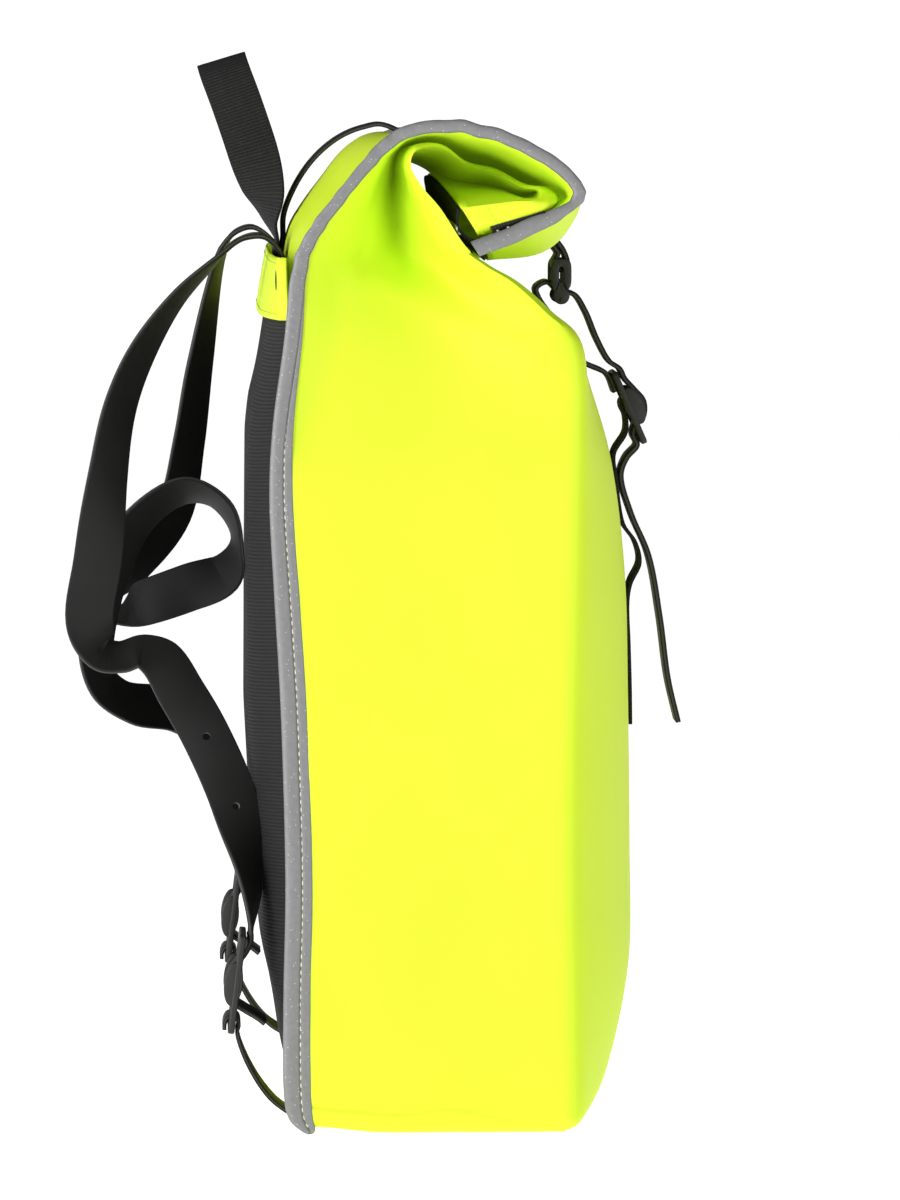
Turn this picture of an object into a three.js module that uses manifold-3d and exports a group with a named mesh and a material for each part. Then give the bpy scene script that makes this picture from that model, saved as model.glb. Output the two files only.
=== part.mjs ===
// Roll-top backpack standing on its base: X runs across the back, -Y is the front, +Z is up.
import * as THREE from 'three';
import Module from 'manifold-3d';

const wasm = await Module();
wasm.setup();

// Driving dimensions in millimetres
const halfWidth = 150;
const clothWall = 1.2;
const baseWall = 1.4;
const seat = 0.3;
const bindingReach = 1.9;
const strapWidth = 22;
const strapWall = 2.3;
const webbingWidth = 23;
const webbingWall = 1.6;
const lowerStrapWall = 1.8;
const anchorX = 55;
const sliderX = 118;
const lowerStrapX = 126;

// The bag's cross-sections from the base up to the shoulder, over the roll and back under it.
// back and front are the seam lines at the sides; bulge is how far the middle of the front stands out;
// inset is how far the side gusset folds in and fold where, as a share of its way from front to back;
// swell is how far the middle of the back stands out; bound is half the binding's width.
const sections = [
  { backY: 60, backZ: 0.6, frontY: -59, frontZ: 0.9, bulge: 8, inset: 0, swell: 0, fold: 0.5, bound: 3.2 },
  { backY: 65, backZ: 14, frontY: -59.5, frontZ: 14, bulge: 20, inset: 0, swell: 0, fold: 0.5, bound: 6 },
  { backY: 65.5, backZ: 60, frontY: -58.5, frontZ: 60, bulge: 31.5, inset: 0, swell: 0, fold: 0.5, bound: 6 },
  { backY: 64.5, backZ: 114, frontY: -57.5, frontZ: 114, bulge: 33, inset: 0, swell: 0, fold: 0.5, bound: 6 },
  { backY: 66.5, backZ: 186, frontY: -58, frontZ: 186, bulge: 31.5, inset: 0, swell: 0, fold: 0.5, bound: 5.8 },
  { backY: 69.5, backZ: 238, frontY: -59.5, frontZ: 238, bulge: 28.5, inset: 0, swell: 0, fold: 0.5, bound: 5.6 },
  { backY: 72, backZ: 282, frontY: -60.5, frontZ: 282, bulge: 22.5, inset: 0, swell: 0, fold: 0.5, bound: 5.2 },
  { backY: 71, backZ: 315, frontY: -61.5, frontZ: 313, bulge: 14, inset: 1, swell: 0, fold: 0.5, bound: 4.6 },
  { backY: 66.7, backZ: 351, frontY: -60.5, frontZ: 349, bulge: 4, inset: 5, swell: 1, fold: 0.5, bound: 4 },
  { backY: 65, backZ: 373, frontY: -47, frontZ: 364, bulge: -2, inset: 11, swell: 4, fold: 0.5, bound: 3.6 },
  { backY: 63, backZ: 386, frontY: -33, frontZ: 376.5, bulge: -4, inset: 18, swell: 6.5, fold: 0.5, bound: 3.3 },
  { backY: 58.3, backZ: 397.5, frontY: -20, frontZ: 384, bulge: -4, inset: 25, swell: 8.5, fold: 0.5, bound: 3.1 },
  { backY: 51.3, backZ: 407.5, frontY: -9, frontZ: 392.5, bulge: -3, inset: 32, swell: 9.5, fold: 0.5, bound: 3 },
  { backY: 42.5, backZ: 418.5, frontY: 2, frontZ: 409, bulge: -1, inset: 38, swell: 9.5, fold: 0.5, bound: 2.9 },
  { backY: 33, backZ: 430, frontY: 10, frontZ: 418.5, bulge: 0, inset: 43, swell: 8, fold: 0.5, bound: 2.9 },
  { backY: 25, backZ: 438, frontY: 15.2, frontZ: 428, bulge: 0, inset: 46, swell: 4, fold: 0.5, bound: 2.9 },
  { backY: 16, backZ: 443.3, frontY: 12.3, frontZ: 435.6, bulge: 1, inset: 48, swell: 0, fold: 0.48, bound: 2.9 },
  { backY: 2, backZ: 445.6, frontY: 1, frontZ: 436.4, bulge: 4, inset: 50, swell: -1, fold: 0.42, bound: 2.9 },
  { backY: -13, backZ: 444.3, frontY: -10.6, frontZ: 430, bulge: 7, inset: 54, swell: -2, fold: 0.34, bound: 2.9 },
  { backY: -28.5, backZ: 439.5, frontY: -24, frontZ: 427, bulge: 6, inset: 54, swell: -2, fold: 0.34, bound: 2.9 },
  { backY: -46.4, backZ: 430.3, frontY: -36, frontZ: 419.5, bulge: 2, inset: 50, swell: 0, fold: 0.38, bound: 2.9 },
  { backY: -57, backZ: 420.5, frontY: -42.4, frontZ: 417.6, bulge: 0, inset: 44, swell: 3, fold: 0.5, bound: 2.9 },
  { backY: -58.5, backZ: 414, frontY: -42.8, frontZ: 414.2, bulge: 0, inset: 34, swell: 8, fold: 0.7, bound: 2.9 },
  { backY: -50.4, backZ: 408, frontY: -38.5, frontZ: 412.6, bulge: 2, inset: 22, swell: 18, fold: 0.86, bound: 2.9 },
  { backY: -37.3, backZ: 401.5, frontY: -29.4, frontZ: 412.2, bulge: 5, inset: 18, swell: 24, fold: 0.88, bound: 2.9 },
  { backY: -17.5, backZ: 393.2, frontY: -7.4, frontZ: 409.5, bulge: 12, inset: 18, swell: 14, fold: 0.88, bound: 2.9 },
];

// What the roll does to some of the sections: pull is how far the front's edges draw in at the ends,
// and pinch how far the closing strap holds in the middle of the back.
const rolledRows = [
  { row: 17, pull: 12, pinch: 4 },
  { row: 18, pull: 34, pinch: 6 },
  { row: 19, pull: 38, pinch: 8 },
  { row: 20, pull: 34, pinch: 10 },
  { row: 21, pull: 20, pinch: 13 },
  { row: 22, pull: 6, pinch: 17 },
  { row: 23, pull: 0, pinch: 20 },
  { row: 24, pull: 0, pinch: 24 },
  { row: 25, pull: 0, pinch: 10 },
];
const pinchHalf = 0.1;
const pinchSpread = 0.24;
const shoulderRow = 8;
const throatRow = 12;
const shoulderJoin = 0.02;
const lastRow = sections.length - 1;

// Colours and finishes
const finishes = {
  coatedCloth: { color: 0xc8f028, roughness: 0.45, metalness: 0 },
  padKnit: { color: 0x1c1c1d, roughness: 0.95, metalness: 0 },
  bindingTape: { color: 0x96969b, roughness: 0.5, metalness: 0.1 },
  strapRubber: { color: 0x2b2b2c, roughness: 0.7, metalness: 0 },
  webbing: { color: 0x1b1b1c, roughness: 0.9, metalness: 0 },
  hardware: { color: 0x202021, roughness: 0.5, metalness: 0 },
  zip: { color: 0x2a2a2b, roughness: 0.6, metalness: 0.2 },
};

const bag = new THREE.Group();

function addPiece(name, finish, geometry) {
  const mesh = new THREE.Mesh(geometry, new THREE.MeshStandardMaterial(finishes[finish]));
  mesh.name = name;
  bag.add(mesh);
  return mesh;
}

// Closed bodies from rows of points

function signedVolume(points, faces) {
  return faces.reduce((sum, [a, b, c]) => {
    return sum + points[a].dot(new THREE.Vector3().crossVectors(points[b], points[c])) / 6;
  }, 0);
}

// A closed body from its points and triangles, with the faces turned outwards
function bodyFrom(points, faces) {
  const turned = signedVolume(points, faces) < 0 ? faces.map(([a, b, c]) => [a, c, b]) : faces;
  const geometry = new THREE.BufferGeometry().setFromPoints(points);
  geometry.setIndex(turned.flat());
  geometry.computeVertexNormals();
  return geometry;
}

function quad(a, b, c, d) {
  return [[a, b, c], [a, c, d]];
}

// A tube through rings that each hold the same number of points, with flat ends
function tubeThrough(rings) {
  const size = rings[0].length;
  const faces = [];
  for (let row = 0; row + 1 < rings.length; row += 1) {
    for (let k = 0; k < size; k += 1) {
      const next = (k + 1) % size;
      faces.push(...quad(row * size + k, row * size + next, (row + 1) * size + next, (row + 1) * size + k));
    }
  }
  const last = (rings.length - 1) * size;
  for (let k = 1; k + 1 < size; k += 1) {
    faces.push([0, k + 1, k], [last, last + k, last + k + 1]);
  }
  return bodyFrom(rings.flat(), faces);
}

// A wall between two grids of the same size, closed along its four edges
function wallBetween(outer, inner) {
  const rows = outer.length;
  const columns = outer[0].length;
  const at = (side, row, column) => (side * rows + row) * columns + column;
  const faces = [];
  for (let row = 0; row + 1 < rows; row += 1) {
    for (let k = 0; k + 1 < columns; k += 1) {
      faces.push(...quad(at(0, row, k), at(0, row, k + 1), at(0, row + 1, k + 1), at(0, row + 1, k)));
      faces.push(...quad(at(1, row, k), at(1, row + 1, k), at(1, row + 1, k + 1), at(1, row, k + 1)));
    }
    const end = columns - 1;
    faces.push(...quad(at(0, row, 0), at(0, row + 1, 0), at(1, row + 1, 0), at(1, row, 0)));
    faces.push(...quad(at(0, row, end), at(1, row, end), at(1, row + 1, end), at(0, row + 1, end)));
  }
  for (let k = 0; k + 1 < columns; k += 1) {
    const end = rows - 1;
    faces.push(...quad(at(0, 0, k), at(1, 0, k), at(1, 0, k + 1), at(0, 0, k + 1)));
    faces.push(...quad(at(0, end, k), at(0, end, k + 1), at(1, end, k + 1), at(1, end, k)));
  }
  return bodyFrom([...outer.flat(), ...inner.flat()], faces);
}

function normalAt(grid, row, column) {
  const pick = (list, index) => list[THREE.MathUtils.clamp(index, 0, list.length - 1)];
  const along = pick(grid, row + 1)[column].clone().sub(pick(grid, row - 1)[column]);
  const across = pick(grid[row], column + 1).clone().sub(pick(grid[row], column - 1));
  return across.cross(along).normalize();
}

// A cloth wall of even thickness with the grid as its middle surface
function clothOver(grid, wall) {
  const shifted = (amount) => grid.map((line, row) => line.map((point, column) => {
    return point.clone().addScaledVector(normalAt(grid, row, column), amount);
  }));
  return wallBetween(shifted(wall / 2), shifted(-wall / 2));
}

// Joining and cutting

function solidOf(geometry) {
  const vertProperties = new Float32Array(geometry.attributes.position.array);
  const triVerts = new Uint32Array(geometry.index.array);
  return new wasm.Manifold(new wasm.Mesh({ numProp: 3, vertProperties, triVerts }));
}

function geometryOf(solid) {
  const { vertProperties, triVerts } = solid.getMesh();
  const geometry = new THREE.BufferGeometry();
  geometry.setAttribute('position', new THREE.BufferAttribute(new Float32Array(vertProperties), 3));
  geometry.setIndex(Array.from(triVerts));
  geometry.computeVertexNormals();
  return geometry;
}

// The bag's sections as smooth lines

const columnsOf = (x, y, z) => new THREE.CatmullRomCurve3(
  sections.map((row) => new THREE.Vector3(row[x] ?? 0, row[y] ?? 0, row[z] ?? 0)), false, 'catmullrom', 0.5);
const backLine = columnsOf('none', 'backY', 'backZ');
const frontLine = columnsOf('none', 'frontY', 'frontZ');
const formLine = columnsOf('bulge', 'inset', 'swell');
const edgeLine = columnsOf('bound', 'fold', 'none');
const rollLine = new THREE.CatmullRomCurve3(sections.map((_, k) => {
  const { pull = 0, pinch = 0 } = rolledRows.find(({ row }) => row === k) ?? {};
  return new THREE.Vector3(pull, pinch, 0);
}), false, 'catmullrom', 0.5);

function sectionAt(row) {
  const t = row / lastRow;
  const back = backLine.getPoint(t);
  const front = frontLine.getPoint(t);
  const depth = back.distanceTo(front);
  const toBack = back.clone().sub(front).divideScalar(depth);
  const form = formLine.getPoint(t);
  const edge = edgeLine.getPoint(t);
  const roll = rollLine.getPoint(t);
  const at = (x, reach) => front.clone().addScaledVector(toBack, reach).setX(x);
  const backReach = (share) => {
    const pastPinch = Math.max(0, Math.abs(share) - pinchHalf) / pinchSpread;
    return depth - edge.x / 3 + form.z * (1 - share * share) - roll.y * Math.exp(-(pastPinch ** 2));
  };
  const frontReach = (share) => -form.x * (1 - share * share);
  return { depth, at, backReach, frontReach, bound: edge.x, fold: edge.y, inset: form.y, pull: roll.x };
}

const bodyRows = [];
for (let row = 0; row <= lastRow; row += row < throatRow ? 1 : 0.5) {
  bodyRows.push(row);
}

// Shares of the gusset's way from front to back, closer where it folds, and of the front's half width
const gussetStops = [0, 0.05, 0.11, 0.2, 0.34, 0.45, 0.55, 0.66, 0.8, 0.9, 1];
const frontStops = [0, 0.4, 0.8];
const foldGather = 0.8;
const deepestInset = Math.max(...sections.map(({ inset }) => inset));

// One side's line from the middle of the front round the gusset to the seam at the back
function halfSection(row) {
  const { depth, at, frontReach, bound, fold, inset, pull } = sectionAt(row);
  const sideDepth = depth - bound - clothWall / 2 - seat * 2;
  const front = frontStops.map((share) => at((halfWidth - pull) * share, frontReach(share)));
  const side = gussetStops.map((share) => {
    const phase = Math.PI * share ** (Math.log(0.5) / Math.log(fold));
    const gather = foldGather * inset / deepestInset;
    const reach = share + gather * Math.sin(4 * phase) / (4 * Math.PI);
    return at(halfWidth - pull * (1 - share) - inset * Math.sin(phase) ** 2, sideDepth * reach);
  });
  return [...front, ...side];
}

const mirrorX = (point) => point.clone().setX(-point.x);

function bodyGrid(rows) {
  return rows.map((row) => {
    const half = halfSection(row);
    return [...half.slice(1).map(mirrorX).reverse(), ...half];
  });
}

// The standing bag up to its shoulder, with the bottom
function bodyShell() {
  const grid = bodyGrid(bodyRows.filter((row) => row <= shoulderRow));
  const walls = clothOver(grid, clothWall);
  const seamY = sections[0].backY - sections[0].bound / 3 - clothWall / 2 - seat * 2;
  const seamX = halfWidth - bindingReach - seat * 2;
  const outline = grid[0].map((point) => new THREE.Vector2(point.x, point.y));
  const endY = outline[0].y;
  const corners = [[seamX, endY], [seamX, seamY], [-seamX, seamY], [-seamX, endY]];
  const floor = new THREE.Shape([...outline, ...corners.map(([x, y]) => new THREE.Vector2(x, y))]);
  const base = new THREE.ExtrudeGeometry(floor, { depth: baseWall, bevelEnabled: false });
  return geometryOf(solidOf(walls).add(solidOf(welded(base))));
}

// The cloth from the shoulder up, which folds in at the sides and lies inside the roll
function rollLining() {
  const rows = [shoulderRow + shoulderJoin, ...bodyRows.filter((row) => row > shoulderRow)];
  return clothOver(bodyGrid(rows), clothWall);
}

// One body of an extruded shape, with its shared corners merged
function welded(geometry) {
  const points = [];
  const seen = new Map();
  const position = geometry.attributes.position;
  const corner = (index) => {
    const point = new THREE.Vector3().fromBufferAttribute(position, index);
    const key = point.toArray().map((value) => value.toFixed(4)).join();
    if (!seen.has(key)) {
      seen.set(key, points.length);
      points.push(point);
    }
    return seen.get(key);
  };
  const order = geometry.index ? Array.from(geometry.index.array) : [...Array(position.count).keys()];
  const faces = [];
  for (let k = 0; k < order.length; k += 3) {
    const face = [corner(order[k]), corner(order[k + 1]), corner(order[k + 2])];
    if (new Set(face).size === 3) {
      faces.push(face);
    }
  }
  return bodyFrom(points, faces);
}

// The back panel lies between the two bindings
const panelHalf = halfWidth - bindingReach - seat;
const panelStops = [-1, -0.7, -0.35, -pinchHalf, pinchHalf, 0.35, 0.7, 1];

function panelRow(row) {
  const { at, backReach } = sectionAt(row);
  return panelStops.map((share) => at(panelHalf * share, backReach(share)));
}

const panelGrid = bodyRows.map(panelRow);
const panelMiddle = panelStops.indexOf(pinchHalf);

// The panel's middle line below the throat, as Y for a height
function panelAt(z) {
  const line = panelGrid.map((points) => points[panelMiddle]);
  const row = Math.max(1, line.findIndex((point) => point.z > z));
  const share = (z - line[row - 1].z) / (line[row].z - line[row - 1].z);
  return THREE.MathUtils.lerp(line[row - 1].y, line[row].y, share);
}

// The front's middle line below the shoulder, as Y for a height
function frontAt(z) {
  const line = bodyRows.slice(0, shoulderRow + 1).map((row) => halfSection(row)[0]);
  const row = Math.max(1, line.findIndex((point) => point.z > z));
  const share = (z - line[row - 1].z) / (line[row].z - line[row - 1].z);
  return THREE.MathUtils.lerp(line[row - 1].y, line[row].y, share);
}

// A bound seam: a flat flange with a round bead on its outer edge
const bindingOutline = [
  { across: -1.2, out: -1.0 }, { across: 1.2, out: -1.0 }, { across: bindingReach, out: 0.45 },
  { across: 1.1, out: 1.0 }, { across: -1.1, out: 1.0 }, { across: -bindingReach, out: 0.45 },
];

function binding(side) {
  return tubeThrough(bodyRows.map((row) => {
    const { depth, at, bound } = sectionAt(row);
    return bindingOutline.map(({ across, out }) => at(side * halfWidth + across, depth + out * bound));
  }));
}

// The padding's knit cover on the back: its outer face for each height
const padLine = [
  { z: 20, y: 69.5 }, { z: 40, y: 75.5 }, { z: 73, y: 80 }, { z: 117, y: 83.5 }, { z: 175, y: 86.5 },
  { z: 248, y: 86 }, { z: 303, y: 85.5 }, { z: 327, y: 83 }, { z: 362, y: 79.3 }, { z: 372, y: 77.8 },
  { z: 388, y: 74.6 },
];
const padHalf = 143;
const padTop = 372;
const padEdge = 3;
const padWall = 1.6;
const padStops = [-1, -0.94, -0.8, -0.5, 0, 0.5, 0.8, 0.94, 1];

function padFace(z) {
  const row = Math.max(1, padLine.findIndex((point) => point.z >= z));
  const share = (z - padLine[row - 1].z) / (padLine[row].z - padLine[row - 1].z);
  return THREE.MathUtils.lerp(padLine[row - 1].y, padLine[row].y, share);
}

function padPoint(share, z, lift) {
  const seatY = panelAt(z) + clothWall / 2 + seat;
  const swell = padFace(z) - seatY - padEdge;
  return new THREE.Vector3(padHalf * share, seatY + padEdge + swell * (1 - share ** 4) + lift, z);
}

// The cover's face at a depth below its outer side, with its rim turned down to the panel
function padCover(depth) {
  const low = padLine[0].z + depth;
  const high = padTop - depth;
  const seams = panelGrid.map((points) => points[panelMiddle].z).filter((z) => z > low && z < high);
  const narrow = 1 - depth / padHalf;
  const line = (z, rim) => {
    const foot = panelAt(z) + clothWall / 2 + seat;
    const face = padStops.map((share) => {
      const point = padPoint(share, z, -depth).setX(padHalf * share * narrow);
      return rim ? point.setY(foot) : point;
    });
    const feet = [face[0], face.at(-1)].map((point) => point.clone().setY(foot));
    return [feet[0], ...face, feet[1]];
  };
  return [line(low, true), ...[low, ...seams, high].map((z) => line(z, false)), line(high, true)];
}

// The patch that covers the strap ends lies on the top of the padding
const patchHeights = [360.5, 366, 372, 380, 388];

function anchorPatch() {
  const lift = seat + clothWall / 2;
  return clothOver(patchHeights.map((z) => padStops.map((share) => padPoint(share, z, lift))), clothWall);
}

// Flat straps: each row is a place on the strap's middle line. turn is the angle in degrees between the
// strap's width and the X axis, or wide gives the width's direction itself.
const ribbonSteps = 3;

function widthAt({ turn = 0, wide }, along) {
  if (wide) {
    return new THREE.Vector3(...wide);
  }
  const level = new THREE.Vector3(1, 0, 0).addScaledVector(along, -along.x).normalize();
  return level.applyAxisAngle(along, THREE.MathUtils.degToRad(turn));
}

function ribbon(stations, width, wall) {
  const path = new THREE.CatmullRomCurve3(
    stations.map(({ x = 0, y, z }) => new THREE.Vector3(x, y, z)), false, 'centripetal');
  const last = stations.length - 1;
  const widths = new THREE.CatmullRomCurve3(
    stations.map((station, k) => widthAt(station, path.getTangent(k / last))), false, 'catmullrom', 0.5);
  const steps = last * ribbonSteps;
  const rings = [];
  for (let k = 0; k <= steps; k += 1) {
    const middle = path.getPoint(k / steps);
    const along = path.getTangent(k / steps);
    const across = widths.getPoint(k / steps);
    across.addScaledVector(along, -across.dot(along)).normalize();
    const out = new THREE.Vector3().crossVectors(along, across);
    across.multiplyScalar(width / 2);
    out.multiplyScalar(wall / 2);
    const corner = (a, b) => middle.clone().addScaledVector(across, a).addScaledVector(out, b);
    rings.push([corner(-1, -1), corner(1, -1), corner(1, 1), corner(-1, 1)]);
  }
  return tubeThrough(rings);
}

const mirrored = (stations) => stations.map((row) => ({ ...row, x: -row.x, turn: -(row.turn ?? 0) }));

// Sliders: a flat plate with two windows, placed by its middle, its lean and its size
const sliders = {
  strap: { y: 91.8, z: 65.2, lean: 97.2, length: 45, width: 31, wall: 3, bar: 5 },
  front: { y: -90.4, z: 315.4, lean: 66.4, length: 36, width: 30, wall: 2.8, bar: 5 },
};

function sliderGeometry({ length, width, wall, bar }) {
  const plate = roundedRectangle(width, length, bar / 2);
  const windowLength = (length - 3 * bar) / 2;
  for (const side of [-1, 1]) {
    const hole = roundedRectangle(width - 1.3 * bar, windowLength, 1);
    plate.holes.push(new THREE.Path(hole.getPoints(2).map((point) => {
      return new THREE.Vector2(point.x, point.y + side * (windowLength + bar) / 2);
    })));
  }
  const geometry = new THREE.ExtrudeGeometry(plate, { depth: wall, bevelEnabled: false, curveSegments: 2 });
  return geometry.translate(0, 0, -wall / 2);
}

function roundedRectangle(width, height, radius) {
  const x = width / 2 - radius;
  const y = height / 2 - radius;
  const shape = new THREE.Shape();
  shape.absarc(x, y, radius, 0, Math.PI / 2);
  shape.absarc(-x, y, radius, Math.PI / 2, Math.PI);
  shape.absarc(-x, -y, radius, Math.PI, Math.PI * 1.5);
  shape.absarc(x, -y, radius, Math.PI * 1.5, Math.PI * 2);
  return shape;
}

// A place on a slider: along is up its length, off is out from the bag
function onSlider({ y, z, lean }, facing, along, off) {
  const angle = THREE.MathUtils.degToRad(lean);
  const upY = Math.cos(angle);
  const upZ = Math.sin(angle);
  const outY = facing * upZ;
  const outZ = -facing * upY;
  return { y: y + along * upY + off * outY, z: z + along * upZ + off * outZ };
}

const onStrapSlider = (along, off) => onSlider(sliders.strap, 1, along, off);
const onFrontSlider = (along, off) => onSlider(sliders.front, -1, along, off);

function addSlider(name, slider, x) {
  const mesh = addPiece(name, 'hardware', sliderGeometry(slider));
  mesh.position.set(x, slider.y, slider.z);
  mesh.rotation.x = THREE.MathUtils.degToRad(slider.lean);
}

// A strap end held between the back panel and the patch
const tucked = (x, z, lift) => ({ x, y: panelAt(z) + clothWall / 2 + seat + lift, z });

// The shoulder strap's way through its slider: behind the top bar, over the middle one and out behind
const sliderWeave = [
  { along: 22.5, off: -3.4 }, { along: 16.5, off: -3.2 }, { along: 9.8, off: 0 }, { along: 3, off: 3.3 },
  { along: -3, off: 3.3 }, { along: -9, off: 0 }, { along: -14, off: -4.8 }, { along: -20, off: -7.8 },
];

const nearStrap = [
  ...[375, 381, 387].map((z) => tucked(-anchorX, z, strapWall / 2)),
  { x: -57, y: 79, z: 395.5 },
  { x: -58, y: 89, z: 394 },
  { x: -62, y: 101, z: 383.6, turn: 6 },
  { x: -68, y: 117.4, z: 367.4, turn: 17 },
  { x: -74, y: 133.6, z: 343, turn: 32 },
  { x: -80, y: 143.4, z: 318.7, turn: 40 },
  { x: -85, y: 149, z: 287.5, turn: 52 },
  { x: -88, y: 153.4, z: 251.4, turn: 80 },
  { x: -90, y: 157.6, z: 222, turn: 70 },
  { x: -90, y: 154, z: 206.5, turn: 24 },
  { x: -88, y: 144.5, z: 203, turn: 10 },
  { x: -88, y: 134, z: 206, turn: 20 },
  { x: -90, y: 125, z: 203, turn: 50 },
  { x: -93, y: 116, z: 191.5, turn: 75 },
  { x: -98, y: 105, z: 172.4, turn: 85 },
  { x: -106, y: 92.5, z: 143.3, turn: 75 },
  { x: -113, y: 85.7, z: 111.8, turn: 30 },
  ...sliderWeave.map(({ along, off }) => ({ x: -sliderX, ...onStrapSlider(along, off) })),
];

const farStrap = [
  ...[375, 381, 387].map((z) => tucked(anchorX, z, strapWall / 2)),
  { x: 55, y: 81.6, z: 397.2 },
  { x: 54, y: 90.5, z: 394.8 },
  { x: 53, y: 96.5, z: 386, turn: 8 },
  { x: 50, y: 107, z: 334, turn: 30 },
  { x: 45, y: 112.4, z: 297, turn: 40 },
  { x: 35, y: 119, z: 266, turn: 50 },
  { x: 18, y: 134, z: 236, turn: 40 },
  { x: 0, y: 147, z: 221, turn: 15 },
  { x: -18, y: 146, z: 210.5, turn: 10 },
  { x: -26, y: 132, z: 213, turn: 45 },
  { x: -28, y: 112, z: 226, turn: 75 },
  { x: -30, y: 96, z: 239, turn: 45 },
  { x: -32, y: 90.5, z: 255, turn: 10 },
  { x: -35, y: 98, z: 273, turn: 20 },
  { x: -38, y: 115, z: 279, turn: 35 },
  { x: -40, y: 135, z: 266, turn: 40 },
  { x: -42, y: 150, z: 240, turn: 50 },
  { x: -42, y: 158, z: 205, turn: 45 },
  { x: -36, y: 157, z: 182, turn: 20 },
  { x: -22, y: 143, z: 170.5, turn: 15 },
  { x: 5, y: 122, z: 166, turn: 25 },
  { x: 60, y: 103, z: 150, turn: 25 },
  { x: 103, y: 89.5, z: 119, turn: 15 },
  ...sliderWeave.map(({ along, off }) => ({ x: sliderX, ...onStrapSlider(along, off) })),
];

// The short strap from a bottom corner, wrapped round the slider's lower bar
const lowerWrap = [
  { along: -23, off: -3.0 }, { along: -18.5, off: -3.1 }, { along: -16, off: -1.9 },
  { along: -16, off: 1.9 }, { along: -18.5, off: 3.1 }, { along: -27, off: 3.0 },
];
const lowerStrap = [
  tucked(-lowerStrapX, 4, lowerStrapWall / 2),
  { x: -lowerStrapX, y: 66.5, z: 6.5 },
  { x: -124, y: 76, z: 13 },
  { x: -121, y: 86, z: 27 },
  ...lowerWrap.map(({ along, off }) => ({ x: -sliderX, ...onStrapSlider(along, off) })),
];

// The grab handle stands on two sewn feet and turns its width round to the lean of the loop
const handleLift = strapWall + seat * 2 + webbingWall / 2;
const handleHalf = [
  ...[379, 384, 388, 392].map((z) => ({ ...tucked(-13, z, handleLift), wide: [1, 0, 0] })),
  { x: -14, y: 75.2, z: 402, wide: [0.97, 0.24, 0] },
  { x: -17, y: 78, z: 416, wide: [0.6, 0.77, -0.23] },
  { x: -19, y: 83, z: 434, wide: [0.1, 0.95, -0.29] },
  { x: -17, y: 90, z: 455, wide: [0, 0.957, -0.29] },
  { x: -10, y: 95.5, z: 470, wide: [0, 0.957, -0.29] },
];
const mirroredFoot = ({ x, y, z, wide: [a, b, c] }) => ({ x: -x, y, z, wide: [-a, b, c] });
const handleTop = { x: 0, y: 97, z: 475, wide: [0, 0.957, -0.29] };
const handleStations = [
  ...handleHalf,
  handleTop,
  ...handleHalf.map(mirroredFoot).reverse(),
];

// The closing hook: two slotted cheeks joined by a bar at each end
const hook = { y: -58.8, z: 373.6, height: 21, depth: 9.7, halfSpan: 14.2, cheek: 3, bar: 1.7, slot: 1.6 };
const hookBarTop = hook.z + hook.height / 2 - 2.2;
const hookBarLow = hook.z - hook.height / 2 + 2.2;

function closingHook() {
  const outline = roundedRectangle(hook.depth, hook.height, 3);
  const slot = roundedRectangle(hook.slot, hook.height - 8, hook.slot / 2 - 0.01);
  outline.holes.push(new THREE.Path(slot.getPoints(2)));
  const extrusion = { depth: hook.cheek, bevelEnabled: false, curveSegments: 3 };
  const cheek = new THREE.ExtrudeGeometry(outline, extrusion);
  cheek.rotateX(Math.PI / 2).rotateZ(Math.PI / 2);
  const parts = [-1, 1].map((side) => {
    const x = side * hook.halfSpan - hook.cheek / 2;
    return solidOf(welded(cheek.clone().translate(x, hook.y, hook.z)));
  });
  for (const z of [hookBarTop, hookBarLow]) {
    const bar = new THREE.CylinderGeometry(hook.bar, hook.bar, hook.halfSpan * 2, 10);
    parts.push(solidOf(welded(bar.rotateZ(Math.PI / 2).translate(0, hook.y, z))));
  }
  return geometryOf(parts.reduce((whole, part) => whole.add(part)));
}

// The closing strap arches from the handle's foot to the roll, lies round it and wraps the hook's top bar
function closingStrap() {
  const arch = [
    ...[375, 381, 387, 393].map((z) => tucked(0, z, strapWall / 2)),
    { y: 68.6, z: 404 },
    { y: 64, z: 416.3 },
    { y: 57, z: 427.4 },
    { y: 49, z: 435.6 },
    { y: 40.6, z: 441.2 },
    { y: 32, z: 444.4 },
    { y: 23, z: 445.6 },
  ];
  const lift = clothWall / 2 + seat + strapWall / 2;
  const roundRoll = [];
  for (const row of [17, 18, 19, 20, 20.5, 21, 21.5, 22, 22.5]) {
    const [before, here, after] = [row - 0.25, row, row + 0.25].map((place) => panelRow(place)[panelMiddle]);
    const along = after.sub(before).normalize();
    roundRoll.push({ y: here.y + along.z * lift, z: here.z - along.y * lift });
  }
  const wrap = hook.bar + seat + strapWall / 2;
  const hookEnd = [{ y: -55, z: 395.5 }, { y: -60.2, z: 387.6 }];
  for (const angle of [180, 225, 270, 315, 360]) {
    const turn = THREE.MathUtils.degToRad(angle);
    hookEnd.push({ y: hook.y + wrap * Math.cos(turn), z: hookBarTop + wrap * Math.sin(turn) });
  }
  hookEnd.push({ y: -57.5, z: 386.3 }, { y: -55.1, z: 389.9 }, { y: -52.3, z: 394.3 });
  return ribbon([...arch, ...roundRoll, ...hookEnd], strapWidth, strapWall);
}

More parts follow.
